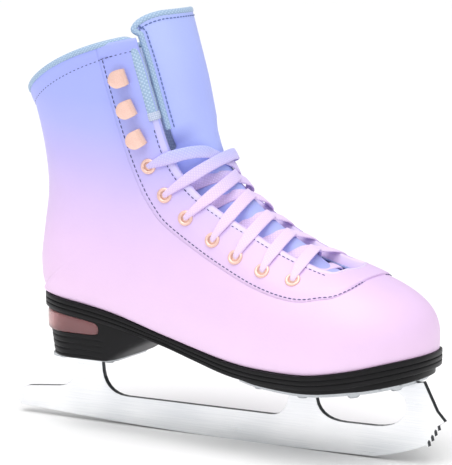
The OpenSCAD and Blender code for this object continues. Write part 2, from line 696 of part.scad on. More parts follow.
// Above the cuff the tongue is wider: its v there, before its top corners round off
tongue_wide_v = .366;
function tongue_top_v(s) =
    tongue_wide_v * super((s - 13) / (tongue_top_s + .03 - 13), 3) - tongue_clear_v * .7;
function tongue_edge_v(s) =
    s > 13 ? lerp(throat_v(13) - tongue_clear_v, tongue_top_v(s), smooth((s - 13.12) / .25))
    : throat_v(s) + lerp(.09, -tongue_clear_v, smooth((s - 7.8) / .7));
function tongue_edge_d(s) = lerp(under_d, 3.4, smooth((s - 8.3) / 1));
function tongue_mid_d(s) = lerp(under_d, 2.1, smooth((s - .4) / 1.6));
function tongue_depth(s, v) =
    lerp(tongue_mid_d(s), tongue_edge_d(s), smooth(v / max(throat_v(s), .15)));
tongue_cols = 5;
module tongue_layer(a, b, from, thick) {
    S = [for (s = TONGUE_ROWS) if (s >= a && s <= b) s];
    E = [for (s = S) tongue_edge_v(s)];
    D = [for (i = [0:len(S) - 1]) [for (j = [0:tongue_cols])
        tongue_depth(S[i], E[i] * j / tongue_cols) + from]];
    layer(S, fill(S, 0), E, D, thick, tongue_cols, ridge = 99);
}
foam_from = tongue_leather_t + .15;
tongue_lining_from = foam_from + tongue_foam_t + .15;
tongue_t = tongue_lining_from + tongue_lining_t;

module tongue_base_leather() {
    color("#b3bdfb") tongue_layer(-1, hinge_gap[0], 0, tongue_leather_t);
}
module tongue_base_foam() {
    color("#e6e6e0") tongue_layer(-1, hinge_gap[0], foam_from, tongue_foam_t);
}
module tongue_base_lining() {
    color("#b9c7e8") tongue_layer(-1, hinge_gap[0], tongue_lining_from, tongue_lining_t);
}
module tongue_top_leather() {
    color("#b3bdfb") tongue_layer(hinge_gap[1], 14, 0, tongue_leather_t);
}
module tongue_top_foam() {
    color("#e6e6e0") tongue_layer(hinge_gap[1], 14, foam_from, tongue_foam_t);
}
module tongue_top_lining() {
    color("#b9c7e8") tongue_layer(hinge_gap[1], 14, tongue_lining_from, tongue_lining_t);
}
module tongue_binding() {
    S = [for (s = TONGUE_ROWS) if (s >= 13) s];
    edge = [for (s = S) [s, tongue_edge_v(s)]];
    top = edge[len(edge) - 1];
    side_path = concat(edge, [for (k = [.66, .33]) [top[0], top[1] * k]]);
    path = concat([for (p = side_path) [p[0], -1, p[1]]], [[top[0], 1, 0]],
                  [for (i = [len(side_path) - 1:-1:0]) [side_path[i][0], 1, side_path[i][1]]]);
    P = [for (p = path)
        let (n = boot_normal(p[0], p[1], max(p[2], .02)),
             d = tongue_depth(p[0], p[2]) + tongue_t / 2)
        boot(p[0], p[1], p[2], 0) - n * d];
    color("#9fc0dd")
        tube([for (i = [0:len(P) - 1])
            let (n = boot_normal(path[i][0], path[i][1], max(path[i][2], .02)),
                 out = unit(cross(n, heading(P, i))))
            half_round(P[i] + out * edge_lift, n, out, tongue_t, 1.8)]);
}

// ---------------------------------------------------------------- eyelets and hooks
eyelet_wall = .35;
flange_h = .9;
module eyelet(side, e) {
    reach = inside_d + facing_t + .6;
    color("#f3cfc0")
        on_boot(e[0], side, e[1], -facing_t)
            rotate_extrude()
                polygon([[eyelet_bore_r, -reach], [eyelet_bore_r + eyelet_wall, -reach],
                         [eyelet_bore_r + eyelet_wall, .1], [eyelet_r, .1],
                         [eyelet_r, .5], [eyelet_r - .5, flange_h],
                         [eyelet_bore_r + .5, flange_h], [eyelet_bore_r, .5]]);
}

hook_plate_t = .9;
hook_gap = 3.1;
rivet_r = 1.4;
hook_turn = 8;
rivet_l = inside_d + facing_t + hook_plate_t + .8;
// Stamped hook: a base on the facing, a bend on the throat side and a round lip above
module hook(side, e) {
    half_l = hook_l / 2;
    bend = hook_gap / 2 + hook_plate_t;
    color("#f2c6b2")
        on_boot(e[0], side, e[1], -facing_t)
            rotate([0, 0, side < 0 ? 90 + hook_turn : -90 - hook_turn])
                difference() {
                    intersection() {
                        rotate([90, 0, 0])
                            linear_extrude(height = hook_w, center = true)
                                difference() {
                                    union() {
                                        translate([-half_l, .15])
                                            square([hook_l - bend, 2 * bend]);
                                        translate([half_l - bend, bend + .15])
                                            circle(r = bend);
                                    }
                                    translate([-half_l - 1, .15 + hook_plate_t])
                                        square([hook_l - bend + 1, hook_gap]);
                                    translate([half_l - bend, bend + .15])
                                        circle(r = hook_gap / 2);
                                }
                        linear_extrude(height = 8)
                            union() {
                                translate([-half_l + hook_w / 2, 0]) circle(r = hook_w / 2);
                                translate([-half_l + hook_w / 2, -hook_w / 2])
                                    square([hook_l, hook_w]);
                            }
                    }
                    translate([-half_l + hook_w / 2, 0, -1])
                        cylinder(r = rivet_r + fit_gap, h = 2 + hook_plate_t);
                }
}
module hook_rivets() {
    shift = -hook_l / 2 + hook_w / 2;
    color("#e2b6a4")
        for (side = [-1, 1], e = HOOKS)
            on_boot(e[0], side, e[1], -facing_t)
                rotate([0, 0, side < 0 ? 90 + hook_turn : -90 - hook_turn])
                    translate([shift, 0, .2 + hook_plate_t]) {
                        cylinder(r1 = 2.4, r2 = 1.6, h = .5);
                        translate([0, 0, -rivet_l]) cylinder(r = rivet_r, h = rivet_l + .1);
                    }
}

// ---------------------------------------------------------------- lace
// The lace comes up through an eyelet, crosses the tongue and goes under the other
// facing to the next eyelet up. Each row is [s, side, v, depth, width, thickness].
lace_top_d = -facing_t - 1.2 - lace_t / 2;
lace_under_d = inside_d + lace_t / 2 + .3;
function hop(k, from, to, over) =
    let (a = EYELETS[k], b = EYELETS[max(k - 1, 0)], c = k == 0 ? [8.75, .40] : b,
         cross_s = lerp(a[0], c[0], .5), lift = over ? -2.1 : .4,
         edge_a = throat_v(lerp(a[0], c[0], .2)), edge_b = throat_v(lerp(a[0], c[0], .8)))
    [[a[0], from, a[1], 2.5, 3.2, 2.6], [a[0], from, a[1], -1.2, 3.2, 2.6],
     [lerp(a[0], c[0], .04), from, a[1] - .045, lace_top_d, 4.6, 1.9],
     [lerp(a[0], c[0], .2), from, edge_a + .01, lace_top_d + .3, lace_w, lace_t],
     [lerp(a[0], c[0], .36), from, edge_a * .5, lift - .6, lace_w, lace_t],
     [cross_s, from, .001, lift, lace_w, lace_t],
     [lerp(a[0], c[0], .64), to, edge_b * .5, lift + .9, lace_w, lace_t],
     [lerp(a[0], c[0], .78), to, edge_b - .02, lace_under_d - 1.6, lace_w, lace_t],
     [lerp(a[0], c[0], .9), to, lerp(edge_b, c[1], .5), lace_under_d, lace_w, lace_t],
     [c[0], to, c[1] - .01, lace_under_d, 4, 2]];
// The half of the lace that starts at the bottom eyelet of one side
function half_route(side) =
    [for (i = [0:6]) let (k = 6 - i, from = i % 2 == 0 ? side : -side)
        each hop(k, from, -from, from < 0)];
function lace_route() =
    let (a = half_route(-1), b = half_route(1))
    concat([for (i = [len(b) - 1:-1:0]) b[i]],
           [[.95, 1, .22, lace_under_d + .2, lace_w, lace_t],
            [.9, 1, .05, lace_under_d, lace_w, lace_t],
            [.95, -1, .2, lace_under_d + .2, lace_w, lace_t]],
           a);
module lace() {
    R = lace_route();
    P = [for (r = R) boot(r[0], r[1], r[2], r[3])];
    N = [for (r = R) boot_normal(r[0], r[1], max(r[2], .02))];
    color("#e7d2fb")
        tube([for (i = [0:len(P) - 1])
            let (h = heading(P, i), side = unit(cross(h, N[i])), up = unit(cross(side, h)),
                 w = R[i][4] / 2, t = R[i][5] / 2)
            [P[i] - side * w - up * t, P[i] + side * w - up * t, P[i] + side * w + up * t,
             P[i] - side * w + up * t]]);
}
module aglets() {
    R = lace_route();
    n = len(R);
    color("lavender")
        for (q = [[R[0], R[1]], [R[n - 1], R[n - 2]]]) {
            a = boot(q[0][0], q[0][1], q[0][2], q[0][3]);
            d = unit(a - boot(q[1][0], q[1][1], q[1][2], q[1][3]));
            translate(a + d * .1)
                rotate([0, acos(d[2]), atan2(d[1], d[0])])
                    cylinder(r = 1.3, h = 14);
        }
}

blade_runner();
heel_plate();
sole_plate();
heel_plate_screws();
sole_plate_screws();
outsole();
forepart_pad();
heel_block();
heel_window();
heel_core();
shank();
insole_board();
footbed();
upper();
facing();
back_stay();
facing_stiffener();
toe_box();
heel_counter();
ankle_pad(-1);  // ankle_pad_outer
ankle_pad(1);  // ankle_pad_inner
collar_foam();
lining();
collar_binding();
tongue_base_leather();
tongue_base_foam();
tongue_base_lining();
tongue_top_leather();
tongue_top_foam();
tongue_top_lining();
tongue_binding();
lace();
aglets();
hook_rivets();
hook(-1, HOOKS[0]);  // hook_outer_1
hook(-1, HOOKS[1]);  // hook_outer_2
hook(-1, HOOKS[2]);  // hook_outer_3
hook(1, HOOKS[0]);  // hook_inner_1
hook(1, HOOKS[1]);  // hook_inner_2
hook(1, HOOKS[2]);  // hook_inner_3
for (i = [1:7]) {
    eyelet(-1, EYELETS[i - 1]);
    eyelet(1, EYELETS[i - 1]);
}
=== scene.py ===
"""Ladies' figure skate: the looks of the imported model.

The boot's soft goods, its sole and heel, its eyelets and its hooks are made here round
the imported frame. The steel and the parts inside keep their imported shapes.
Lengths are in millimetres until a mesh is made, and metres after that.
"""

import logging
import math
from collections.abc import Callable, Iterable, Sequence
from dataclasses import dataclass, field
from enum import Enum

import bmesh
import bpy
import numpy as np
from mathutils import Matrix, Vector


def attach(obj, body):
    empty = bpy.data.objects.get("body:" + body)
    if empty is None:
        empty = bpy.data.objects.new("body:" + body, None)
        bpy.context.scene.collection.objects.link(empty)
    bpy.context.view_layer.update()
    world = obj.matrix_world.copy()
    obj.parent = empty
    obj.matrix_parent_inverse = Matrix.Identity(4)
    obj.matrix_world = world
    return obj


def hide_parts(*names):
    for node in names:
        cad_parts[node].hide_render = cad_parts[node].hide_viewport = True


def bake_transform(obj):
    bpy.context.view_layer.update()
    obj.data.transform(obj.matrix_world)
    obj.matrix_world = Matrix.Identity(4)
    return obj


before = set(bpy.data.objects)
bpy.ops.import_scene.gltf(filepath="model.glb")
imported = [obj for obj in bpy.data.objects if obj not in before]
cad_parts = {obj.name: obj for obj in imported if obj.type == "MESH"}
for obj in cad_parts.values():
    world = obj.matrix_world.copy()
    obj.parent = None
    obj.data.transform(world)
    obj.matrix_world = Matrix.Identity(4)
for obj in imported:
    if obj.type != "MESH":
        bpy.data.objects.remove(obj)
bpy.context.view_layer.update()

LOG = logging.getLogger("skate")
MM = 0.001
BOOT = "boot"
Array = np.ndarray
Socket = bpy.types.NodeSocket


class Side(Enum):
    """The two sides of the boot, and the sign of Y on each."""

    OUTER = -1
    INNER = 1


# ------------------------------------------------------------------ curves


def hermite(table: Sequence, x: Array) -> Array:
    """Smooth curve through pairs.

    Args:
        table: Pairs of x and value, in rising x.
        x: Where to read the curve.

    Returns:
        The values at x, held past the table's ends.
    """
    xs, ys = np.array(table, float).T
    n = len(xs)
    lo, hi = np.maximum(np.arange(n) - 1, 0), np.minimum(np.arange(n) + 1, n - 1)
    slope = (ys[hi] - ys[lo]) / (xs[hi] - xs[lo])
    c = np.clip(np.asarray(x, float), xs[0], xs[-1])
    i = np.clip(np.searchsorted(xs, c, side="right") - 1, 0, n - 2)
    h = xs[i + 1] - xs[i]
    t = (c - xs[i]) / h
    return (
        (2 * t**3 - 3 * t**2 + 1) * ys[i]
        + (t**3 - 2 * t**2 + t) * slope[i] * h
        + (3 * t**2 - 2 * t**3) * ys[i + 1]
        + (t**3 - t**2) * slope[i + 1] * h
    )


def catmull(rows: Array, s: Array) -> Array:
    """Smooth curve through the rows of a table.

    Args:
        rows: One row of values per whole number.
        s: Row numbers, whole or not.

    Returns:
        One row of values for each s.
    """
    n = len(rows) - 1
    full = np.vstack([2 * rows[:1] - rows[1:2], rows, 2 * rows[-1:] - rows[-2:-1]])
    c = np.clip(np.asarray(s, float), 0, n)
    i = np.minimum(np.floor(c).astype(int), n - 1)
    t = (c - i)[..., None]
    a, b, d, e = full[i], full[i + 1], full[i + 2], full[i + 3]
    return 0.5 * (
        2 * b
        + (d - a) * t
        + (2 * a - 5 * b + 4 * d - e) * t**2
        + (3 * b - a - 3 * d + e) * t**3
    )


def spline(points: Array, per_span: int) -> Array:
    """A smooth run of points through a few given ones."""
    count = (len(points) - 1) * per_span + 1
    return catmull(np.asarray(points, float), np.linspace(0, len(points) - 1, count))


def oval(d: Array, power: float) -> Array:
    """Height of a superellipse of unit size at distance d from its middle."""
    return np.maximum(1 - np.minimum(np.abs(d), 1) ** power, 0) ** (1 / power)


def smooth(t: Array) -> Array:
    """Ease from 0 to 1."""
    c = np.clip(t, 0, 1)
    return c * c * (3 - 2 * c)


def unit(v: Array) -> Array:
    """Vectors of length one."""
    return v / np.maximum(np.linalg.norm(v, axis=-1, keepdims=True), 1e-9)


# ------------------------------------------------------------------ boot form


@dataclass(frozen=True)
class BootForm:
    """The boot's outer surface: row s runs from the toe (-1) to the cuff (13), v from the
    front ridge (0) to the sole or the back (1), and d goes in from the surface."""

    ball_half: float = 46.0
    heel_half: float = 31.3
    toe_x: float = 75.0
    toe_len: float = 56.0
    heel_x: float = -84.0
    heel_len: float = 30.0
    plan_power: float = 2.1
    welt: float = 2.2
    toe_tip: float = 129.5
    toe_drop: float = 0.36
    toe_power: float = 3.6
    toe_front_power: float = 2.3
    wide_v: float = 0.6
    floor_gap: float = 0.2
    back_s: float = 7.0
    cuff_s: float = 13.0
    throat_s: float = -0.04
    throat_round: float = 0.25
    seam_s: float = -0.17
    seam_slope: float = 0.31
    feather: tuple = (
        (-118, 78.5), (-97, 78), (-60, 72.3), (-24, 63), (1, 57.5), (24, 53.4),
        (45, 51.7), (74, 51.8), (99, 55.5), (119, 60), (133, 62.5),
    )  # fmt: skip
    waist_outer: tuple = (
        (-84, 31.3), (-65, 31.2), (-45, 31.2), (-20, 32.4), (0, 35), (20, 38.8),
        (45, 43.2), (75, 46),
    )  # fmt: skip
    waist_inner: tuple = (
        (-84, 31.3), (-65, 31), (-45, 30.3), (-20, 29.6), (0, 30.6), (20, 34),
        (45, 40.5), (75, 46),
    )  # fmt: skip
    sections: tuple = (
        (75, 51.8, 84, 106, 45.3, 45.3, 0.25, 2.3, 2.3, 0),
        (50, 51.7, 67, 111.3, 44, 42, 0.26, 2.3, 2.3, 0),
        (20, 53.8, 51, 118.3, 40.5, 37.5, 0.28, 2.4, 2.3, 0),
        (-15, 61, 36, 127.3, 36.5, 34, 0.33, 2.5, 2.3, 0),
        (-50, 69.8, 21.5, 138, 33.5, 32.5, 0.38, 2.6, 2.3, 0),
        (-84, 76.3, 9.5, 149.2, 33, 32.5, 0.42, 2.6, 2.2, 0),
        (-104, 78.4, 4, 158, 33, 33, 0.43, 2.6, 2.4, 0),
        (-112, 79, -0.5, 165, 33, 33, 0.44, 2.6, 2.8, 0),
        (-116.2, 94, -3.5, 173, 32.8, 32.8, 0.45, 2.6, 2.5, 0),
        (-115, 115, -6.5, 183, 33, 33, 0.46, 2.6, 2.2, 0),
        (-113, 135, -9.5, 194.5, 34, 34, 0.47, 2.6, 2, 1),
        (-114, 155, -12.5, 207, 35.5, 35.5, 0.48, 2.5, 2, 2.5),
        (-117.5, 174, -16, 219.5, 37, 37, 0.48, 2.4, 2, 5),
        (-122.5, 192, -20, 231.5, 38.5, 38.5, 0.48, 2.4, 2, 8),
        (-128, 210, -24.5, 246, 39, 39, 0.48, 2.4, 2, 6),
    )
    throat_table: tuple = (
        (0.25, 0.152), (1, 0.155), (2, 0.170), (3, 0.197), (4, 0.239), (5, 0.265),
        (6, 0.278), (7, 0.284), (8, 0.303), (9, 0.323), (10, 0.336), (11, 0.341),
        (12, 0.338), (13, 0.338),
    )  # fmt: skip
    seam_table: tuple = (
        (0, 0.333), (0.5, 0.378), (1, 0.4), (2, 0.423), (3, 0.444), (4, 0.465),
        (5, 0.467), (6, 0.456), (7, 0.452), (8, 0.466), (9, 0.491), (10, 0.513),
        (11, 0.523), (12, 0.52), (13, 0.512),
    )  # fmt: skip

    def feather_z(self, x: Array) -> Array:
        """Height of the line where the leather meets the sole."""
        return hermite(self.feather, x)

    def waist(self, x: Array, side: Side) -> Array:
        """Half width of the sole's middle stretch at x."""
        return hermite(self.waist_outer if side is Side.OUTER else self.waist_inner, x)

    def plan_half(self, x: Array, side: Side) -> Array:
        """Half width of the sole's plan at x."""
        toe = self.ball_half * oval((x - self.toe_x) / self.toe_len, self.plan_power)
        heel = self.heel_half * oval((self.heel_x - x) / self.heel_len, self.plan_power)
        middle = self.waist(x, side)
        return np.where(x >= self.toe_x, toe, np.where(x <= self.heel_x, heel, middle))

    def plan(self, along: Array, side: Side, inset: Array) -> Array:
        """Points of the sole's outline.

        Args:
            along: 0 at the heel's end, 1 to 2 along the straighter middle, 3 at the toe.
            side: Which side of the sole.
            inset: How far in from the outline, in millimetres.

        Returns:
            X and Y in millimetres, in the last axis.
        """
        along, inset = np.broadcast_arrays(np.asarray(along, float), np.asarray(inset, float))
        heel = np.sin(np.clip(1 - along, 0, 1) * math.pi / 2)
        toe = np.sin(np.clip(along - 2, 0, 1) * math.pi / 2)
        middle = self.heel_x + (self.toe_x - self.heel_x) * np.clip(along - 1, 0, 1)
        x = middle - (self.heel_len - inset) * heel + (self.toe_len - inset) * toe
        half = self.waist(middle, side) - inset
        half = half * oval(heel, self.plan_power) * oval(toe, self.plan_power)
        return np.stack([x, side.value * half + self.lean(x)], axis=-1)

    def lean(self, x: Array) -> Array:
        """How far the toe leans to the inner side at x."""
        return 4.5 * np.maximum(0, (x - self.toe_x) / self.toe_len) ** 2

    def throat_v(self, s: Array) -> Array:
        """The v of the throat's edge in row s."""
        s = np.asarray(s, float)
        reach = self.throat_round - self.throat_s
        low = self.throat_table[0][1] * oval((self.throat_round - s) / reach, 2)
        v = np.where(s < self.throat_round, low, hermite(self.throat_table, s))
        return np.where(s <= self.throat_s, 0, v)

    def seam_v(self, s: Array) -> Array:
        """The v of the facing's sewn outer edge in row s."""
        s = np.asarray(s, float)
        low = (self.seam_table[0][1] + self.seam_slope * s) * oval(s / self.seam_s, 2.8)
        v = np.where(s < 0, low, hermite(self.seam_table, s))
        return np.where(s <= self.seam_s, 0, v)

    def point(self, s: Array, side: Side, v: Array, d: Array = 0.0) -> Array:
        """Points of the surface.

        Args:
            s: Row numbers.
            side: Which side of the boot.
            v: How far down each row.
            d: Depth in from the surface, in millimetres.

        Returns:
            X, Y, Z in millimetres, in the last axis.
        """
        s, v, d = np.broadcast_arrays(*(np.asarray(a, float) for a in (s, v, d)))
        r = np.moveaxis(catmull(np.array(self.sections, float), np.maximum(s, 0)), -1, 0)
        half = r[4] if side is Side.OUTER else r[5]
        reach = self.heel_len - 2
        back = np.clip((self.heel_x - r[0]) / reach, 0, 1)
        low = s < self.back_s
        ax = r[0] + d * np.where(low, back, 1)
        az = np.where(low, self.feather_z(r[0]) + self.floor_gap, r[1])
        span = np.hypot(r[2] - r[0], r[3] - r[1])
        bx, bz = r[2] - (r[2] - r[0]) / span * d, r[3] - (r[3] - r[1]) / span * d
        inset = self.welt + d
        heel = (self.heel_half - inset) * oval((self.heel_x - ax) / (reach - d), self.plan_power)
        edge = np.where(ax <= self.heel_x, heel, self.plan_half(ax, side) - inset)
        edge = np.where(low, np.maximum(edge, 0), 0)
        wide = np.maximum(half - d, edge)
        # The toe cap narrows and drops from the ball to the tip.
        toe = s < 0
        q = np.where(toe, np.sin(-s * math.pi / 2), 0)
        tip, w = self.toe_tip - d, oval(q, self.plan_power)
        rx, fx = ax + (tip - ax) * q, bx + (tip - bx) * q
        floor = self.feather_z(tip) + self.floor_gap
        fz = floor + (bz - self.toe_drop * (fx - bx) - floor) * oval(q, self.toe_power)
        rz = self.feather_z(rx) + self.floor_gap
        edge = np.where(toe, (self.ball_half - inset) * w, edge)
        wide = np.where(toe, (half - d) * w, wide)
        ax, az = np.where(toe, rx, ax), np.where(toe, rz, az)
        bx, bz = np.where(toe, fx, bx), np.where(toe, np.maximum(fz, rz + 0.5), bz)
        front = v <= self.wide_v
        rear_v = (v - self.wide_v) / (1 - self.wide_v)
        a = np.where(front, v / self.wide_v, rear_v) * math.pi / 2
        c, n = np.maximum(np.cos(a), 0), np.maximum(np.sin(a), 0)
        rear_power = np.where(toe, self.toe_front_power, r[8])
        t = np.where(front, r[6] + (1 - r[6]) * c ** (2 / r[7]), r[6] * (1 - n ** (2 / rear_power)))
        y = np.where(front, wide * n ** (2 / r[7]), edge + (wide - edge) * c ** (2 / rear_power))
        dx, dz = bx - ax, bz - az
        bow = np.where(toe, 0, r[9]) * 4 * t * (1 - t) / np.maximum(np.hypot(dx, dz), 1e-6)
        x = ax + dx * t - dz * bow
        return np.stack([x, side.value * y + self.lean(x), az + dz * t + dx * bow], axis=-1)

    def normal(self, s: Array, side: Side, v: Array) -> Array:
        """Outward unit normals of the surface."""
        h = 0.02
        v = np.clip(v, h + 0.002, 1 - h)
        along = self.point(s + h, side, v) - self.point(s - h, side, v)
        down = self.point(s, side, v + h) - self.point(s, side, v - h)
        return -side.value * unit(np.cross(along, down))

    def rows(self, low: float, high: float, count: int = 150) -> Array:
        """Row numbers from low to high, close together where the edges turn."""
        turn = np.cos(np.linspace(0, math.pi / 2, 16))
        reach = self.throat_round - self.throat_s
        every = np.concatenate([
            np.linspace(-1, self.seam_s, 46), self.seam_s * turn,
            self.throat_round - reach * turn, np.linspace(self.throat_round, self.cuff_s, count),
        ])  # fmt: skip
        every = np.unique(np.round(every, 4))
        inside = every[(every > low + 1e-3) & (every < high - 1e-3)]
        return np.concatenate([[low], inside, [high]])


FORM = BootForm()


@dataclass(frozen=True)
class Layers:
    """Depths of the boot's layers, in millimetres in from the leather's outer face."""

    leather: float = 1.6
    facing: float = 1.2
    inside: float = 5.6
    tongue: float = 5.5
    lace_t: float = 1.4
    padding: float = 1.1
    collar_s: float = 12.55

    def swell(self, s: Array) -> Array:
        """How far the padded collar stands out above its seam."""
        t = np.clip((s - self.collar_s) / (FORM.cuff_s + 0.1 - self.collar_s), 0, 1)
        return self.padding * np.sin(t * math.pi) ** 0.7


LAYERS = Layers()


# ------------------------------------------------------------------ meshes


def new_mesh(name: str, verts: Array, faces: Iterable, uvs: Array | None = None) -> bpy.types.Object:
    """A smooth mesh object.

    Args:
        name: The piece's name.
        verts: Points in millimetres.
        faces: Corner indices of each face.
        uvs: One UV pair per corner, in the faces' order, or None.

    Returns:
        The new object, at the origin.
    """
    mesh = bpy.data.meshes.new(name)
    mesh.from_pydata((np.asarray(verts, float) * MM).tolist(), [], [list(map(int, f)) for f in faces])
    if uvs is not None:
        layer = mesh.uv_layers.new(name="UVMap")
        layer.data.foreach_set("uv", np.asarray(uvs, float).ravel())
    mesh.update()
    mesh.shade_smooth()
    obj = bpy.data.objects.new(name, mesh)
    bpy.context.scene.collection.objects.link(obj)
    return obj


def select_only(obj: bpy.types.Object) -> None:
    """Makes one object the only one selected, and the active one."""
    bpy.ops.object.select_all(action="DESELECT")
    obj.select_set(True)
    bpy.context.view_layer.objects.active = obj


def finish_with(obj: bpy.types.Object, kind: str, **settings: object) -> None:
    """Adds a modifier to an object and applies it."""
    select_only(obj)
    modifier = obj.modifiers.new(kind, kind)
    for key, value in settings.items():
        setattr(modifier, key, value)
    bpy.ops.object.modifier_apply(modifier=modifier.name)


def merge_close(obj: bpy.types.Object, outwards: bool = False, gap: float = 0.02) -> None:
    """Merges points that lie close together.

    Args:
        obj: The object.
        outwards: Whether all its faces are turned outwards too.
        gap: How close, in millimetres.
    """
    shape = bmesh.new()
    shape.from_mesh(obj.data)
    bmesh.ops.remove_doubles(shape, verts=shape.verts, dist=gap * MM)
    bmesh.ops.dissolve_degenerate(shape, edges=shape.edges, dist=gap * MM * 0.1)
    if outwards:
        bmesh.ops.recalc_face_normals(shape, faces=shape.faces)
    shape.to_mesh(obj.data)
    shape.free()


def skin(
    name: str, rows: Array, near: Callable, far: Callable, depth: Callable, columns: int
) -> bpy.types.Object:
    """Both sides of one layer's outer face, joined where they meet.

    Args:
        name: The piece's name.
        rows: Row numbers.
        near: Gives the v of the edge nearer the front, from the rows.
        far: Gives the v of the other edge.
        depth: Gives the depth from rows and v.
        columns: How many columns each side has.

    Returns:
        The open sheet, faces outwards.
    """
    verts, faces, uvs = [], [], []
    t = np.linspace(0, 1, columns + 1)
    s = np.repeat(rows[:, None], columns + 1, axis=1)
    v = near(rows)[:, None] * (1 - t) + far(rows)[:, None] * t
    n = columns + 1
    i, j = np.meshgrid(np.arange(len(rows) - 1), np.arange(columns), indexing="ij")
    corner = (i * n + j).ravel()
    for k, side in enumerate(Side):
        grid = FORM.point(s, side, v, depth(s, v))
        verts.append(grid.reshape(-1, 3))
        order = [corner, corner + n, corner + n + 1, corner + 1]
        if side is Side.INNER:
            order.reverse()
        quads = np.stack(order, axis=1)
        step_u = np.linalg.norm(np.diff(grid, axis=0), axis=2).mean(axis=1)
        step_w = np.linalg.norm(np.diff(grid, axis=1), axis=2)
        u = np.concatenate([[0], np.cumsum(step_u)])[:, None] * np.ones(n)
        w = np.concatenate([np.zeros((len(rows), 1)), np.cumsum(step_w, axis=1)], axis=1)
        flat = np.stack([u, w], axis=-1).reshape(-1, 2) * MM
        uvs.append(flat[quads.ravel()])
        faces.append(quads + k * len(rows) * n)
    obj = new_mesh(name, np.concatenate(verts), np.concatenate(faces), np.concatenate(uvs))
    merge_close(obj)
    return obj


def ring_quads(count: int, corners: int) -> Array:
    """The four-cornered faces between a run of closed rings."""
    i, j = np.meshgrid(np.arange(count - 1) * corners, np.arange(corners), indexing="ij")
    k = (j + 1) % corners
    return np.stack([i + j, i + k, i + corners + k, i + corners + j], axis=-1).reshape(-1, 4)


def loft(name: str, rings: Array) -> bpy.types.Object:
    """A tube through rings of points, with its ends closed.

    Args:
        name: The piece's name.
        rings: Ring, point and X, Y, Z in millimetres.

    Returns:
        The tube, with UVs in metres along and round it.
    """
    n, m = rings.shape[:2]
    quads = ring_quads(n, m)
    i, j = np.meshgrid(np.arange(n - 1), np.arange(m), indexing="ij")
    middle = rings.mean(axis=1)
    steps = np.linalg.norm(np.diff(middle, axis=0), axis=1)
    along = np.concatenate([[0], np.cumsum(steps)]) * MM
    loop = np.linalg.norm(np.diff(rings, axis=1, append=rings[:, :1]), axis=2).mean(axis=0)
    round_ = np.concatenate([[0], np.cumsum(loop)]) * MM
    u = np.stack([along[i], along[i], along[i + 1], along[i + 1]], axis=-1)
    w = np.stack([round_[j], round_[j + 1], round_[j + 1], round_[j]], axis=-1)
    uvs = np.stack([u, w], axis=-1).reshape(-1, 2)
    faces = [*quads, range(m - 1, -1, -1), range((n - 1) * m, n * m)]
    uvs = np.concatenate([uvs, np.zeros((2 * m, 2))])
    obj = new_mesh(name, rings.reshape(-1, 3), faces, uvs)
    merge_close(obj, outwards=True, gap=0.005)
    return obj


def headings(path: Array) -> Array:
    """Unit directions along a run of points."""
    return unit(np.gradient(path, axis=0))


def lengths(path: Array) -> Array:
    """Distances along a run of points, from 0."""
    return np.concatenate([[0], np.cumsum(np.linalg.norm(np.diff(path, axis=0), axis=1))])


def oval_ring(wide: Array, high: Array, power: float, count: int) -> tuple[Array, Array]:
    """Superellipses round a middle.

    Args:
        wide: Half width of each.
        high: Half height of each.
        power: 2 for an ellipse, more for a squarer shape.
        count: How many corners each has.

    Returns:
        The corners' places across and up, one row for each.
    """
    a = np.linspace(0, 2 * math.pi, count, endpoint=False)
    c, s = np.cos(a), np.sin(a)
    x = np.sign(c) * np.abs(c) ** (2 / power)
    y = np.sign(s) * np.abs(s) ** (2 / power)
    return np.multiply.outer(wide, x), np.multiply.outer(high, y)


def ring_points(path: Array, across: Array, up: Array, x: Array, y: Array) -> Array:
    """Rings of points round a path.

    Args:
        path: The rings' middles.
        across: Unit vectors of the rings' width.
        up: Unit vectors of their height.
        x: The corners' places across.
        y: The corners' places up.

    Returns:
        Ring, point and X, Y, Z.
    """
    return path[:, None] + x[..., None] * across[:, None] + y[..., None] * up[:, None]


def smooth_by_angle(obj: bpy.types.Object, degrees: float = 38.0) -> None:
    """Shades an object smooth except where its faces meet at more than an angle."""
    select_only(obj)
    bpy.ops.object.shade_smooth_by_angle(angle=math.radians(degrees))


def edge_roll(
    name: str, path: Array, across: Array, half_wide: float, half_high: float | Array
) -> bpy.types.Object:
    """A rolled edge along a path.

    Args:
        name: The piece's name.
        path: Points in millimetres.
        across: Unit vectors through the wall that the roll closes.
        half_wide: Half the roll's size through the wall.
        half_high: Half its size the other way, one value or one per point.

    Returns:
        The roll.
    """
    up = unit(np.cross(headings(path), across))
    count = len(path)
    shape = oval_ring(np.full(count, half_wide), np.broadcast_to(half_high, count), 3.2, 24)
    return loft(name, ring_points(path, across, up, *shape))


# ------------------------------------------------------------------ materials


def linear(colour: str, alpha: float = 1.0) -> tuple[float, float, float, float]:
    """An sRGB hex colour as linear RGBA."""
    parts = [int(colour[i : i + 2], 16) / 255 for i in (1, 3, 5)]
    red, green, blue = (c / 12.92 if c <= 0.04045 else ((c + 0.055) / 1.055) ** 2.4 for c in parts)
    return red, green, blue, alpha


def add_node(
    tree: bpy.types.NodeTree, kind: str, links: dict | None = None, **settings: object
) -> bpy.types.Node:
    """Adds one node.

    Args:
        tree: The material's node tree.
        kind: The node's type name without its ShaderNode prefix.
        links: Input name or number to the output socket, or the value, that it takes.
        settings: Attributes of the node.

    Returns:
        The node.
    """
    node = tree.nodes.new("ShaderNode" + kind)
    for key, value in settings.items():
        setattr(node, key, value)
    for key, source in (links or {}).items():
        socket = node.inputs[key]
        if isinstance(source, Socket):
            tree.links.new(source, socket)
        else:
            socket.default_value = source
    return node


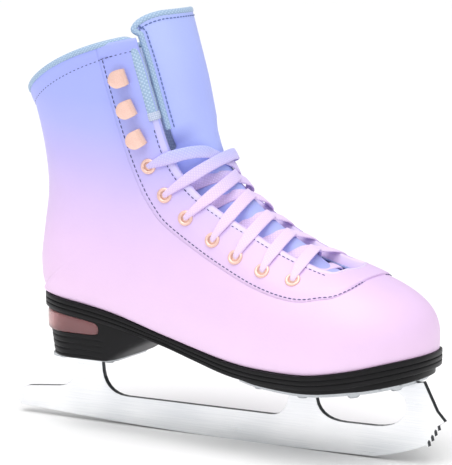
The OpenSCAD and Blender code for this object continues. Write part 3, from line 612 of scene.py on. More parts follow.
class Recipe:
    """A material being made: its tree, its shader and the places it is read at."""

    def __init__(self, name: str) -> None:
        """Starts a material that is one principled shader."""
        self.material = bpy.data.materials.new(name)
        self.material.use_nodes = True
        self.tree = self.material.node_tree
        self.shader = self.tree.nodes["Principled BSDF"]
        coords = add_node(self.tree, "TexCoord")
        self.place, self.uv = coords.outputs["Object"], coords.outputs["UV"]
        parts = add_node(self.tree, "SeparateXYZ", {0: self.place})
        self.x, self.y, self.z = parts.outputs

    def noise(
        self, scale: float, detail: float, place: Socket | None = None, **inputs: float
    ) -> Socket:
        """Cloudy noise, read in object space unless a place is given."""
        links = {"Vector": place or self.place, "Scale": scale, "Detail": detail, **inputs}
        return add_node(self.tree, "TexNoise", links).outputs["Fac"]

    def math(self, operation: str, *values: Socket | float) -> Socket:
        """One sum of one to three values."""
        return add_node(self.tree, "Math", dict(enumerate(values)), operation=operation).outputs[0]

    def span(
        self, source: Socket, low: float, high: float, start: float = 0.0, end: float = 1.0
    ) -> Socket:
        """A value mapped from one span to another.

        Args:
            source: The value.
            low: What it gives at start.
            high: What it gives at end.
            start: The value at the span's one end.
            end: The value at its other end.

        Returns:
            The mapped value.
        """
        links = {"Value": source, "From Min": start, "From Max": end, "To Min": low, "To Max": high}
        return add_node(self.tree, "MapRange", links).outputs[0]

    def ramp(self, source: Socket, stops: Sequence[tuple[float, str]]) -> Socket:
        """A value as a run of colours."""
        node = add_node(self.tree, "ValToRGB", {0: source})
        elements = node.color_ramp.elements
        elements.remove(elements[-1])
        elements[0].position = stops[0][0]
        elements[0].color = linear(stops[0][1])
        for place, colour in stops[1:]:
            elements.new(place).color = linear(colour)
        return node.outputs[0]

    def height_ramp(self, height: Socket, stops: Sequence[tuple[float, str]]) -> Socket:
        """Colours by height, with the stops' heights in millimetres."""
        low, high = stops[0][0], stops[-1][0]
        share = self.span(height, 0.0, 1.0, low * MM, high * MM)
        return self.ramp(share, [((z - low) / (high - low), c) for z, c in stops])

    def mix(self, share: Socket, first: Socket | tuple, second: Socket | tuple) -> Socket:
        """One colour blended into another."""
        links = {0: share, 6: first, 7: second}
        return add_node(self.tree, "Mix", links, data_type="RGBA").outputs[2]

    def bump(self, height: Socket, strength: float, distance: float) -> Socket:
        """Normals of a small relief, its distance in metres."""
        links = {"Height": height, "Strength": strength, "Distance": distance}
        return add_node(self.tree, "Bump", links).outputs[0]

    def done(self, **inputs: Socket | float | tuple) -> bpy.types.Material:
        """Gives the shader its inputs, named with _ for each space, and returns the material."""
        for name, source in inputs.items():
            socket = self.shader.inputs[name.replace("_", " ")]
            if isinstance(source, Socket):
                self.tree.links.new(source, socket)
            else:
                socket.default_value = source
        return self.material


@dataclass(frozen=True)
class Finish:
    """What every finish has: a name, and a way to build its material."""

    name: str

    def build(self) -> bpy.types.Material:
        """Makes the material."""
        raise NotImplementedError


@dataclass(frozen=True)
class DyedLeather(Finish):
    """Coated split leather, dyed so that its colour runs from one to the next with height.

    Its fine grain breaks up a soft, wide highlight.
    """

    stops: tuple = (
        (45, "#f6daf6"), (80, "#eccdee"), (105, "#e6c8ee"), (130, "#d8c1ef"),
        (152, "#c3b8f2"), (172, "#b0b4f8"), (190, "#a6b0f8"), (235, "#a3aef7"),
    )  # fmt: skip
    grain_mm: float = 1.1
    roughness: float = 0.42
    bump: float = 0.10
    drift: float = 0.004
    lean: float = 0.10

    def build(self) -> bpy.types.Material:
        """Makes the material."""
        made = Recipe(self.name)
        drift = made.span(made.noise(14.0, 2.0), -self.drift, self.drift)
        height = made.math("ADD", made.z, drift)
        dyed = made.height_ramp(made.math("MULTIPLY_ADD", made.x, self.lean, height), self.stops)
        tone = made.span(made.noise(60.0, 3.0), 0.975, 1.02)
        tinted = add_node(made.tree, "HueSaturation", {"Color": dyed, "Value": tone})
        grain = 1 / (self.grain_mm * MM)
        cells = add_node(
            made.tree, "TexVoronoi", {"Vector": made.place, "Scale": grain, "Randomness": 1.0},
            feature="SMOOTH_F1",
        )  # fmt: skip
        pores = made.noise(0.6 * grain, 4.0)
        relief = made.math("MULTIPLY_ADD", cells.outputs["Distance"], 0.6, pores)
        return made.done(
            Base_Color=tinted.outputs[0],
            Normal=made.bump(relief, self.bump, 0.0006),
            Roughness=made.span(pores, self.roughness - 0.05, self.roughness + 0.08),
            Specular_IOR_Level=0.45,
        )


@dataclass(frozen=True)
class Weave(Finish):
    """Woven polyester in tapes, the braided lace and the knitted lining.

    Threads cross in a small checker of bright and dark, with a soft sheen.
    """

    colour: str = "#a9c4e0"
    dark: str = "#8fa9c8"
    thread_mm: float = 0.9
    slant: float = 0.0
    bump: float = 0.5
    ramp: tuple = ()

    def build(self) -> bpy.types.Material:
        """Makes the material."""
        made = Recipe(self.name)
        turned = add_node(made.tree, "Mapping", {"Vector": made.uv, "Rotation": (0, 0, self.slant)})
        waves = []
        for axis in ("X", "Y"):
            links = {"Vector": turned.outputs[0], "Scale": 0.5 / (self.thread_mm * MM) / math.pi,
                     "Distortion": 0.4, "Detail": 1.0, "Detail Scale": 2.0}  # fmt: skip
            waves.append(add_node(made.tree, "TexWave", links, bands_direction=axis).outputs["Fac"])
        cross = made.math("MULTIPLY", *waves)
        height = made.math("MULTIPLY_ADD", made.noise(900.0, 2.0), 0.35, cross)
        pale, deep = linear(self.colour), linear(self.dark)
        if self.ramp:
            pale = made.height_ramp(made.z, self.ramp)
            links = {"Color": pale, "Value": 0.86, "Saturation": 1.08}
            deep = add_node(made.tree, "HueSaturation", links).outputs[0]
        return made.done(
            Base_Color=made.mix(height, deep, pale),
            Normal=made.bump(height, self.bump, 0.0003),
            Roughness=0.75,
            Sheen_Weight=0.25,
            Sheen_Roughness=0.4,
        )


@dataclass(frozen=True)
class Metal(Finish):
    """Metal with fine marks along X: ground steel, or lacquered stampings.

    The marks stretch the highlight across them.
    """

    colour: str = "#d9dcde"
    dark: str = "#c3c7ca"
    metallic: float = 1.0
    roughness: float = 0.28
    polish: tuple = (-0.06, 0.08)
    mark_mm: float = 0.35
    mark_rough: float = 0.6
    stretch: float = 40.0
    bump: float = 0.06
    coat: float = 0.0

    def tone(self, made: Recipe, marks: Socket) -> Socket:
        """The metal's colour."""
        return made.ramp(marks, [(0.3, self.dark), (0.7, self.colour)])

    def build(self) -> bpy.types.Material:
        """Makes the material."""
        made = Recipe(self.name)
        long = add_node(made.tree, "Mapping", {"Vector": made.place, "Scale": (1 / self.stretch, 1, 1)})
        marks = made.noise(1 / (self.mark_mm * MM), 3.0, long.outputs[0], Roughness=self.mark_rough)
        return made.done(
            Base_Color=self.tone(made, marks),
            Roughness=made.span(marks, *(self.roughness + part for part in self.polish)),
            Normal=made.bump(marks, self.bump, 0.0002),
            Metallic=self.metallic,
            Coat_Weight=self.coat,
            Coat_Roughness=0.2,
        )


@dataclass(frozen=True)
class GroundSteel(Metal):
    """Blade steel: bright sides ground along X, and painted shade on its thin edge faces.

    Long fine marks and broad soft bands run along the sides.
    """

    colour: str = "#f8f9fa"
    dark: str = "#dfe2e5"
    roughness: float = 0.3
    polish: tuple = (-0.08, 0.1)
    mark_mm: float = 0.45
    mark_rough: float = 0.5
    stretch: float = 60.0
    bump: float = 0.05
    # Painted shade: the dark colour laid on the blade's thin edge faces.
    edge_shade_colour: str = "#33363a"
    half_mm: float = 1.74
    fade_mm: float = 0.06

    def tone(self, made: Recipe, marks: Socket) -> Socket:
        """The metal's colour, with painted shade on the thin edge faces: dark where it is nearer the
        middle than its two sides are.
        """
        cloud = made.math("MULTIPLY_ADD", marks, 0.45, made.noise(22.0, 1.0))
        bright = made.ramp(cloud, [(0.5, self.dark), (0.85, self.colour)])
        width = made.math("ABSOLUTE", made.y)
        side = made.span(width, 0.0, 1.0, (self.half_mm - self.fade_mm) * MM, self.half_mm * MM)
        # Painted shade: the thin edge faces, nearer the middle than the sides, take the dark colour.
        return made.mix(side, linear(self.edge_shade_colour), bright)


@dataclass(frozen=True)
class Moulded(Finish):
    """Moulded or lacquered solid stock, speckled a little, dull where it was rubbed."""

    colour: str = "#17181a"
    dark: str = "#101113"
    roughness: float = 0.3
    speck_mm: float = 0.8
    bump: float = 0.05
    transmission: float = 0.0
    specular: float = 0.5

    def build(self) -> bpy.types.Material:
        """Makes the material."""
        made = Recipe(self.name)
        wear = made.noise(45.0, 3.0)
        specks = made.noise(1 / (self.speck_mm * MM), 4.0)
        return made.done(
            Base_Color=made.ramp(wear, [(0.35, self.dark), (0.65, self.colour)]),
            Roughness=made.span(wear, self.roughness - 0.06, self.roughness + 0.1),
            Normal=made.bump(specks, self.bump, 0.0002),
            Transmission_Weight=self.transmission,
            Specular_IOR_Level=self.specular,
        )


BOOT_LEATHER = DyedLeather("boot_leather")
FACING_LEATHER = DyedLeather("facing_leather")
EDGE_LEATHER = DyedLeather(
    "edge_leather",
    stops=((95, "#ecd6f0"), (130, "#dccdf2"), (165, "#c9c3f3"), (200, "#bcc0f4")),
)
TONGUE_LEATHER = DyedLeather(
    "tongue_leather", stops=((90, "#b9bdf7"), (150, "#aebafa"), (200, "#adb9fb"), (245, "#b2c0fb"))
)
LINING_KNIT = Weave("lining_knit", colour="#b9c6ea", dark="#9cabd6", thread_mm=0.9, slant=0.6)
TAPE = Weave("binding_tape", colour="#b9cfe6", dark="#8fabca", thread_mm=0.8, slant=0.78)
TAB = Weave("sewn_tab", colour="#d3dcec", dark="#a9b6d4", thread_mm=0.6, slant=1.57)
LACE = Weave(
    "lace_braid", thread_mm=0.7, slant=0.6, bump=0.35,
    ramp=((100, "#f3dcfb"), (140, "#eed5fb"), (158, "#d9cbfa"), (168, "#c1c6fb"), (190, "#bcc6fc")),
)  # fmt: skip
THREAD = Weave("thread", colour="#474b86", dark="#343869", thread_mm=0.3)
TONGUE_THREAD = Weave("tongue_thread", colour="#6f82bd", dark="#5569a3", thread_mm=0.3)
BLADE_STEEL = GroundSteel("blade_steel")
PLATE_STEEL = Metal("plate_steel", colour="#c9cccf", dark="#aeb2b6", roughness=0.34)
ROSE_METAL = Metal(
    "rose_metal", colour="#f6d3c6", dark="#edc0b0", metallic=0.45, roughness=0.34,
    mark_mm=0.5, stretch=1.0, coat=0.3,
)  # fmt: skip
SOLE_BLACK = Moulded("sole_black", colour="#100f12", dark="#09090b", roughness=0.4, specular=0.22)
WINDOW = Moulded(
    "window_rose", colour="#e7b3b3", dark="#d99c9f", roughness=0.12, transmission=0.85, speck_mm=3.0
)
WINDOW_CORE = Moulded("core_rose", colour="#8d626b", dark="#6d4a54", roughness=0.4, speck_mm=1.2)
STIFF_BOARD = Moulded("stiff_board", colour="#d9cdb4", dark="#c8b998", roughness=0.7, bump=0.2)
FOAM = Moulded("foam", colour="#e8e6e0", dark="#d8d5cc", roughness=0.9, speck_mm=0.5, bump=0.6)
DARK_HOLE = Moulded("hole_shadow", colour="#2c2440", dark="#1e182e", roughness=0.8)
FOOTBED_KNIT = Moulded("footbed_cloth", colour="#c9b7e6", dark="#b8a4da", roughness=0.9, bump=0.5)


class Wardrobe:
    """Builds each finish once and dresses pieces and frame nodes in it."""

    def __init__(self) -> None:
        """Starts with nothing built."""
        self.built: dict[str, bpy.types.Material] = {}

    def get(self, finish: Finish) -> bpy.types.Material:
        """The material of a finish."""
        if finish.name not in self.built:
            self.built[finish.name] = finish.build()
        return self.built[finish.name]

    def dress(self, obj: bpy.types.Object, *finishes: Finish) -> None:
        """Gives an object one material slot per finish."""
        obj.data.materials.clear()
        for finish in finishes:
            obj.data.materials.append(self.get(finish))

    def dress_node(self, node: str, finish: Finish, bevel_mm: float = 0.0) -> None:
        """Gives a frame node a finish, and softens its edges.

        Args:
            node: The node's name.
            finish: Its finish.
            bevel_mm: Width of the softened edges in millimetres, or 0 for none.
        """
        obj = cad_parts[node]
        for slot in obj.material_slots:
            slot.material = self.get(finish)
        weld = obj.modifiers.new("weld", "WELD")
        weld.merge_threshold = 2e-6
        if bevel_mm:
            bevel = obj.modifiers.new("bevel", "BEVEL")
            bevel.width = bevel_mm * MM
            bevel.segments = 2
            bevel.limit_method = "ANGLE"
            bevel.angle_limit = math.radians(35)


WARDROBE = Wardrobe()


def keep(
    piece: bpy.types.Object, finish: Finish | Sequence[Finish],
    body: str | None = BOOT, replaces: Sequence[str] = (),
) -> bpy.types.Object:
    """Dresses a piece, hangs it on its body and hides the frame nodes that it stands for.

    Args:
        piece: The piece.
        finish: Its finish or finishes.
        body: The body that it rides on, or None to leave it unattached.
        replaces: Frame nodes that it stands for.

    Returns:
        The piece.
    """  # fmt: skip
    WARDROBE.dress(piece, *([finish] if isinstance(finish, Finish) else finish))
    if body:
        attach(piece, body)
    if replaces:
        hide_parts(*replaces)
    LOG.info("%s: %d faces", piece.name, len(piece.data.polygons))
    return piece


# ------------------------------------------------------------------ stitching


@dataclass
class Stitcher:
    """Sews runs of stitches: short threads that dip into the leather at both ends."""

    length: float = 2.1
    gap: float = 0.8
    radius: float = 0.27
    sides: int = 6
    verts: list = field(default_factory=list)
    faces: list = field(default_factory=list)

    def run(self, path: Array, out: Array) -> None:
        """Sews along a path.

        Args:
            path: Points in millimetres, close together.
            out: The surface's outward normals at them.
        """
        steps = lengths(path)
        pitch = self.length + self.gap
        count = int(steps[-1] // pitch)
        for k in range(count):
            marks = (k + 0.5) * pitch + np.linspace(-0.5, 0.5, 5) * self.length
            at = np.stack([np.interp(marks, steps, path[:, i]) for i in range(3)], axis=1)
            up = unit(np.stack([np.interp(marks, steps, out[:, i]) for i in range(3)], axis=1))
            self.stitch(at, up)

    def stitch(self, at: Array, up: Array) -> None:
        """Adds one stitch through five points."""
        lift = np.array([-0.55, 0.15, 0.3, 0.15, -0.55]) * self.radius
        thick = np.array([0.45, 1.0, 1.0, 1.0, 0.45]) * self.radius
        across = unit(np.cross(headings(at), up))
        a = np.linspace(0, 2 * math.pi, self.sides, endpoint=False)
        ring = np.cos(a)[None, :, None] * across[:, None] + 0.7 * np.sin(a)[None, :, None] * up[:, None]
        points = (at + up * lift[:, None])[:, None] + ring * thick[:, None, None]
        base, m = len(self.verts), self.sides
        self.verts.extend(points.reshape(-1, 3))
        self.faces.extend(ring_quads(len(at), m) + base)
        for first in (base, base + (len(at) - 1) * m):
            self.faces.append(range(first, first + m))

    def done(self, name: str) -> bpy.types.Object:
        """Makes all the stitches one mesh."""
        obj = new_mesh(name, np.array(self.verts), self.faces)
        merge_close(obj, outwards=True, gap=0.001)
        return obj


def there_and_back(
    outer: Sequence[Array], inner: Sequence[Array], drop: Side | None = None
) -> list[Array]:
    """Joins runs of both sides: the outer ones backwards, then the inner ones.

    Args:
        outer: Runs of the outer side, from the join.
        inner: The same runs of the inner side.
        drop: The side whose first row is left out, where both sides share it.

    Returns:
        The joined runs.
    """
    a, b = int(drop is Side.OUTER), int(drop is Side.INNER)
    return [np.concatenate([one[a:][::-1], two[b:]]) for one, two in zip(outer, inner)]


def raised(plan: Array, z: Array) -> Array:
    """Points from their X and Y and their heights."""
    return np.concatenate([plan, z[..., None]], axis=-1)


def surface_path(s: Array, side: Side, v: Array, depth: float | Array) -> tuple[Array, Array]:
    """A line on the boot.

    Args:
        s: Row numbers.
        side: Which side of the boot.
        v: How far down each row.
        depth: Depth in from the surface, in millimetres.

    Returns:
        Its points and the surface's outward normals at them.
    """
    return FORM.point(s, side, v, depth), FORM.normal(s, side, v)


# ------------------------------------------------------------------ boot


def facing_depth(s: Array, v: Array) -> Array:
    """Depth of the facing's outer face: skived thin at its sewn edge."""
    skive = smooth((FORM.seam_v(s) - v) / 0.07)
    return -0.14 - 1.06 * skive - LAYERS.swell(s)


@dataclass
class BootUpper:
    """The leather upper, its facing, back stay, edge roll, tapes, lining and seams."""

    columns: int = 54
    stay_s: float = 7.4
    stay_v: float = 0.94
    tape_low_s: float = 10.1
    roll_front: float = 1.1
    roll_half_high: float = 2.5
    tape_half_high: float = 1.9
    front_half: float = 3.4

    def build(self) -> None:
        """Makes and dresses every piece of the boot but its tongue and lacing."""
        self.leather()
        self.facing()
        self.back_stay()
        self.lining()
        self.edges()
        self.seams()
        for node in ("facing_stiffener", "toe_box", "heel_counter", "insole_board"):
            WARDROBE.dress_node(node, STIFF_BOARD)
        for node in ("ankle_pad_outer", "ankle_pad_inner", "collar_foam"):
            WARDROBE.dress_node(node, FOAM)
        WARDROBE.dress_node("footbed", FOOTBED_KNIT, 0.8)

    def leather(self) -> None:
        """The outer leather, from the sole to the throat and the cuff."""
        rows = FORM.rows(-1.0, FORM.cuff_s)
        upper = skin(
            "boot_leather", rows, FORM.throat_v, np.ones_like,
            lambda s, v: -LAYERS.swell(s) * smooth((v - FORM.throat_v(s)) / 0.02), self.columns,
        )  # fmt: skip
        finish_with(upper, "SOLIDIFY", thickness=LAYERS.leather * MM, offset=-1, use_even_offset=True)
        keep(upper, BOOT_LEATHER, replaces=["upper"])

    def facing(self) -> None:
        """The second layer of leather round the throat."""
        rows = FORM.rows(FORM.seam_s, FORM.cuff_s)
        facing = skin("facing_leather", rows, FORM.throat_v, FORM.seam_v, facing_depth, 16)
        finish_with(facing, "SOLIDIFY", thickness=0.12 * MM, offset=-1)
        keep(facing, FACING_LEATHER, replaces=["facing"])

    def back_stay(self) -> None:
        """The strip of leather over the seam at the back."""

        def depth(s: Array, v: Array) -> Array:
            return -0.2 - 0.5 * smooth((v - self.stay_v) / 0.02) - LAYERS.swell(s)

        rows = FORM.rows(self.stay_s, FORM.cuff_s)
        stay = skin(
            "back_stay_leather", rows, lambda s: np.full_like(s, self.stay_v), np.ones_like, depth, 10
        )
        finish_with(stay, "SOLIDIFY", thickness=0.2 * MM, offset=-1)
        keep(stay, BOOT_LEATHER, replaces=["back_stay"])

    def lining(self) -> None:
        """The knitted lining, padded at the collar and ankle."""

        def depth(s: Array, v: Array) -> Array:
            collar = smooth((s - 11.6) / 0.5) * (1 - smooth((s - 12.6) / 0.45))
            return LAYERS.inside + 2.6 * collar * smooth((v - FORM.throat_v(s)) / 0.08)

        rows = FORM.rows(-1.0, FORM.cuff_s, 110)
        lining = skin("lining_knit", rows, FORM.throat_v, np.ones_like, depth, 36)
        finish_with(lining, "SOLIDIFY", thickness=1.9 * MM, offset=1)
        keep(lining, LINING_KNIT, replaces=["lining"])

    def edge_path(self, side: Side, rows: Array, back_mm: float | Array) -> tuple[Array, Array]:
        """Middle of the boot's wall near its throat edge.

        Args:
            side: Which side of the boot.
            rows: Row numbers.
            back_mm: How far behind the edge, in millimetres.

        Returns:
            The points, and the unit vectors through the wall.
        """
        v = FORM.throat_v(rows)
        out = FORM.normal(rows, side, v)
        behind = FORM.point(rows, side, v + 0.01) - FORM.point(rows, side, np.maximum(v - 0.01, 0))
        behind = unit(behind - out * (behind * out).sum(axis=-1, keepdims=True))
        middle = (LAYERS.inside - LAYERS.facing) / 2
        return FORM.point(rows, side, v) - out * middle + behind * np.asarray(back_mm)[..., None], out

    def edges(self) -> None:
        """The turned leather edge round the throat, and the tape round the cuff."""
        half = (LAYERS.inside + LAYERS.facing) / 2
        rows = FORM.rows(FORM.throat_s, self.tape_low_s, 90)
        grow = smooth((rows - FORM.throat_s) / 0.8)
        sides = [self.edge_path(side, rows, self.roll_half_high * grow - 0.5) for side in Side]
        high = self.roll_front + (self.roll_half_high - self.roll_front) * grow
        path, across, high = there_and_back((*sides[0], high), (*sides[1], high), Side.OUTER)
        roll = edge_roll("throat_roll", path, across, half + 0.3, high)
        keep(roll, EDGE_LEATHER)
        path, across, high = self.tape_path()
        tape = edge_roll("cuff_tape", path, across, half + 0.6, high)
        keep(tape, TAPE, replaces=["collar_binding"])
        self.tape_ends()

    def tape_path(self) -> tuple[Array, Array, Array]:
        """The tape's middle line, the way through the wall along it, and half its width."""
        cuff = FORM.cuff_s + 0.02
        down = np.linspace(self.tape_low_s, 12.45, 30)
        front = [self.edge_path(side, down, self.front_half - 0.8) for side in Side]
        corner_v = float(FORM.throat_v(13.0))
        turn = np.linspace(0, math.pi / 2, 9)[2:]
        s = 12.62 + (cuff - 12.62) * np.sin(turn)
        v = corner_v + 0.018 + 0.05 * (1 - np.cos(turn))
        rest = np.linspace(v[-1], 1, 60)[1:]
        s, v = np.concatenate([s, np.full(len(rest), cuff)]), np.concatenate([v, rest])
        middle = (LAYERS.inside - LAYERS.facing) / 2
        halves = []
        for side, (path, across) in zip(Side, front):
            out = FORM.normal(s, side, v)
            top = FORM.point(s, side, v) - out * middle
            halves.append((np.vstack([path, top]), np.vstack([across, out])))
        share = smooth(np.arange(len(halves[0][0])) / len(down) * 2.2 - 1.7)
        high = self.front_half + (self.tape_half_high - self.front_half) * share
        outer, inner = ([run[::-1] for run in (*half, high)] for half in halves)
        return tuple(there_and_back(outer, inner, Side.INNER))

    def tape_ends(self) -> None:
        """The small sewn tabs that close the tape on both facings."""
        for side in Side:
            s = np.linspace(self.tape_low_s - 0.16, self.tape_low_s + 0.16, 9)
            path, across = self.edge_path(side, s, self.front_half - 0.9)
            half = (LAYERS.inside + LAYERS.facing) / 2 + 0.95
            bulge = self.front_half + 0.3 * np.cos(np.linspace(-1.2, 1.2, len(s)))
            tab = edge_roll(f"tape_tab_{side.name.lower()}", path, across, half, bulge)
            keep(tab, TAB)

    def seams(self) -> None:
        """All the stitching on the boot's leather."""
        sewn = Stitcher()
        low = FORM.seam_s * 0.97
        seam_rows = FORM.rows(low, LAYERS.collar_s, 300)
        edge_rows = np.linspace(0.3, self.tape_low_s - 0.3, 260)
        stay_rows = np.linspace(self.stay_s + 0.15, 12.4, 160)
        halves = []
        for side in Side:
            v = FORM.seam_v(seam_rows) - 0.014 * smooth((seam_rows - low) / 0.05)
            halves.append(surface_path(seam_rows, side, v, -0.42))
            sewn.run(*surface_path(edge_rows, side, FORM.throat_v(edge_rows) + 0.036, -1.25))
            v = np.linspace(float(FORM.throat_v(LAYERS.collar_s)) + 0.03, self.stay_v, 120)
            depth = np.where(v < FORM.seam_v(LAYERS.collar_s), -1.25, -0.05)
            sewn.run(*surface_path(np.full_like(v, LAYERS.collar_s), side, v, depth))
            v = np.full_like(stay_rows, self.stay_v + 0.014)
            sewn.run(*surface_path(stay_rows, side, v, -0.62))
        sewn.run(*there_and_back(*halves))
        keep(sewn.done("boot_stitches"), THREAD)


# ------------------------------------------------------------------ tongue


@dataclass
class Tongue:
    """The padded tongue with its taped edge."""

    low_s: float = -0.3
    high_s: float = 13.85
    columns: int = 64
    top_v: float = 0.366
    clear_v: float = 0.03
    under_v: float = 0.09
    tape_s: float = 9.3
    tape_half: float = 1.9
    fold_low: tuple = (-0.010, 0.0, 0.168)
    fold_high: tuple = (-0.020, 0.0, 0.205)

    def edge_v(self, s: Array) -> Array:
        """The v of the tongue's edge in row s."""
        top = self.top_v * oval((s - 13) / (self.high_s + 0.03 - 13), 3) - 0.02
        narrow = (self.under_v + self.clear_v) * smooth((s - 7.8) / 0.7)
        wide = FORM.throat_v(s) + self.under_v - narrow
        flare = smooth((s - 13.12) / 0.25)
        return np.maximum(wide * (1 - flare) + top * flare, 0.001)

    def depth(self, s: Array, v: Array) -> Array:
        """Depth of the tongue's outer face."""
        under = LAYERS.inside + LAYERS.lace_t + 1
        edge = under + (3.4 - under) * smooth(s - 8.3)
        middle = under + (2.1 - under) * smooth((s - 0.4) / 1.6)
        return middle + (edge - middle) * smooth(v / np.maximum(FORM.throat_v(s), 0.15))

    def rings(self) -> Array:
        """Closed outlines across the tongue, from its bottom to its top."""
        turn = np.sin(np.linspace(0, math.pi / 2, 40))[1:]
        rows = np.concatenate([np.linspace(self.low_s, 13, 150), 13 + (self.high_s - 13) * turn])
        share = np.linspace(-1, 1, self.columns + 1)
        s = np.repeat(rows[:, None], len(share), axis=1)
        v = self.edge_v(rows)[:, None] * np.abs(share)
        d = self.depth(s, v)
        thin = LAYERS.tongue * oval(share, 7)[None, :] * np.ones_like(s)
        front, back = [], []
        for side, part in ((Side.OUTER, share < 0), (Side.INNER, share >= 0)):
            ss, vv = s[:, part], v[:, part]
            out = FORM.normal(ss, side, vv)
            face = FORM.point(ss, side, vv)
            front.append(face - out * (d + (LAYERS.tongue - thin) / 2)[:, part][..., None])
            back.append(face - out * (d + (LAYERS.tongue + thin) / 2)[:, part][..., None])
        return np.concatenate([*front, np.concatenate(back, axis=1)[:, -2:0:-1]], axis=1)

    def build(self) -> None:
        """Makes the tongue, its tape and its seam."""
        body = loft("tongue_pad", self.rings())
        self.bend(body, [TONGUE_LEATHER, LINING_KNIT], "tongue_leather", replaces=[
            "tongue_base_leather", "tongue_base_foam", "tongue_base_lining", "tongue_top_leather",
            "tongue_top_foam", "tongue_top_lining"])  # fmt: skip
        self.line_back(body)
        path, across = self.edge_line(self.tape_s, 0.0)
        tape = edge_roll("tongue_tape", path, across, LAYERS.tongue / 2 + 0.5, self.tape_half)
        self.bend(tape, TAPE, "binding_fabric", replaces=["tongue_binding"])
        sewn = Stitcher(length=2.2, gap=0.5, radius=0.35)
        path, across = self.edge_line(self.tape_s, 3.4)
        sewn.run(path + across * (LAYERS.tongue / 2 + 0.1), across)
        self.bend(sewn.done("tongue_stitches"), TONGUE_THREAD, "binding_fabric")

    def bend(
        self, piece: bpy.types.Object, finish: Finish | Sequence[Finish], slot: str,
        replaces: Sequence[str] = (),
    ) -> None:
        """Keeps a piece on no body, with its placement baked into its mesh.

        Args:
            piece: The piece.
            finish: Its finish or finishes.
            slot: Not used.
            replaces: Frame nodes that it stands for.
        """
        keep(piece, finish, body=None, replaces=replaces)
        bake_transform(piece)

    def line_back(self, body: bpy.types.Object) -> None:
        """Gives the tongue's rear face the lining."""
        for face in body.data.polygons:
            front = face.normal.x + 0.5 * face.normal.z
            face.material_index = 1 if front < -0.25 else 0

    def edge_line(self, from_s: float, inset: float) -> tuple[Array, Array]:
        """Middle of the tongue's edge, inset by some millimetres, and the way through it."""
        turn = np.linspace(0, math.pi / 2, 40)[1:]
        s = np.concatenate([np.linspace(from_s, 13, 60), 13 + (self.high_s - 13) * np.sin(turn)])
        v = self.edge_v(s)
        v[-1] = max(v[-1], 0.02)
        last = np.linspace(v[-1], 0.002, 10)[1:]
        s = np.concatenate([s, np.full(len(last), s[-1])])
        v = np.concatenate([v, last])
        halves = []
        for side in Side:
            out = FORM.normal(s, side, v)
            deep = (self.depth(s, v) + LAYERS.tongue / 2)[:, None]
            halves.append((FORM.point(s, side, v) - out * deep, out))
        outer, inner = ([run[::-1] for run in half] for half in halves)
        path, across = there_and_back(outer, inner)
        inward = unit(np.cross(across, headings(path)))
        turned = np.sign(((path.mean(axis=0) - path) * inward).sum(axis=1).mean())
        return path + inward * turned * inset, across


# ------------------------------------------------------------------ lacing

# Row and v of each, from the top down.
EYELETS = (
    (8.3, 0.41), (6.2, 0.385), (4.7, 0.385), (3.7, 0.375), (2.9, 0.36), (2.05, 0.33), (1.1, 0.29),
)  # fmt: skip
HOOKS = ((11.8, 0.45), (10.75, 0.455), (9.6, 0.44))


def seat(s: float, side: Side, v: float, depth: float) -> Matrix:
    """A frame on the boot: Z out of the leather, X towards the throat.

    Args:
        s: The row.
        side: Which side of the boot.
        v: How far down the row.
        depth: Depth of the frame's origin.

    Returns:
        The frame, in metres.
    """
    out = FORM.normal(s, side, v)
    at = FORM.point(s, side, v) - out * depth
    throat = FORM.point(s, side, v - 0.02) - FORM.point(s, side, v + 0.02)
    x = unit(throat - out * np.dot(throat, out))
    y = np.cross(out, x)
    turned = Matrix((x, y, out)).transposed().to_4x4()
    return Matrix.Translation(Vector(at) * MM) @ turned


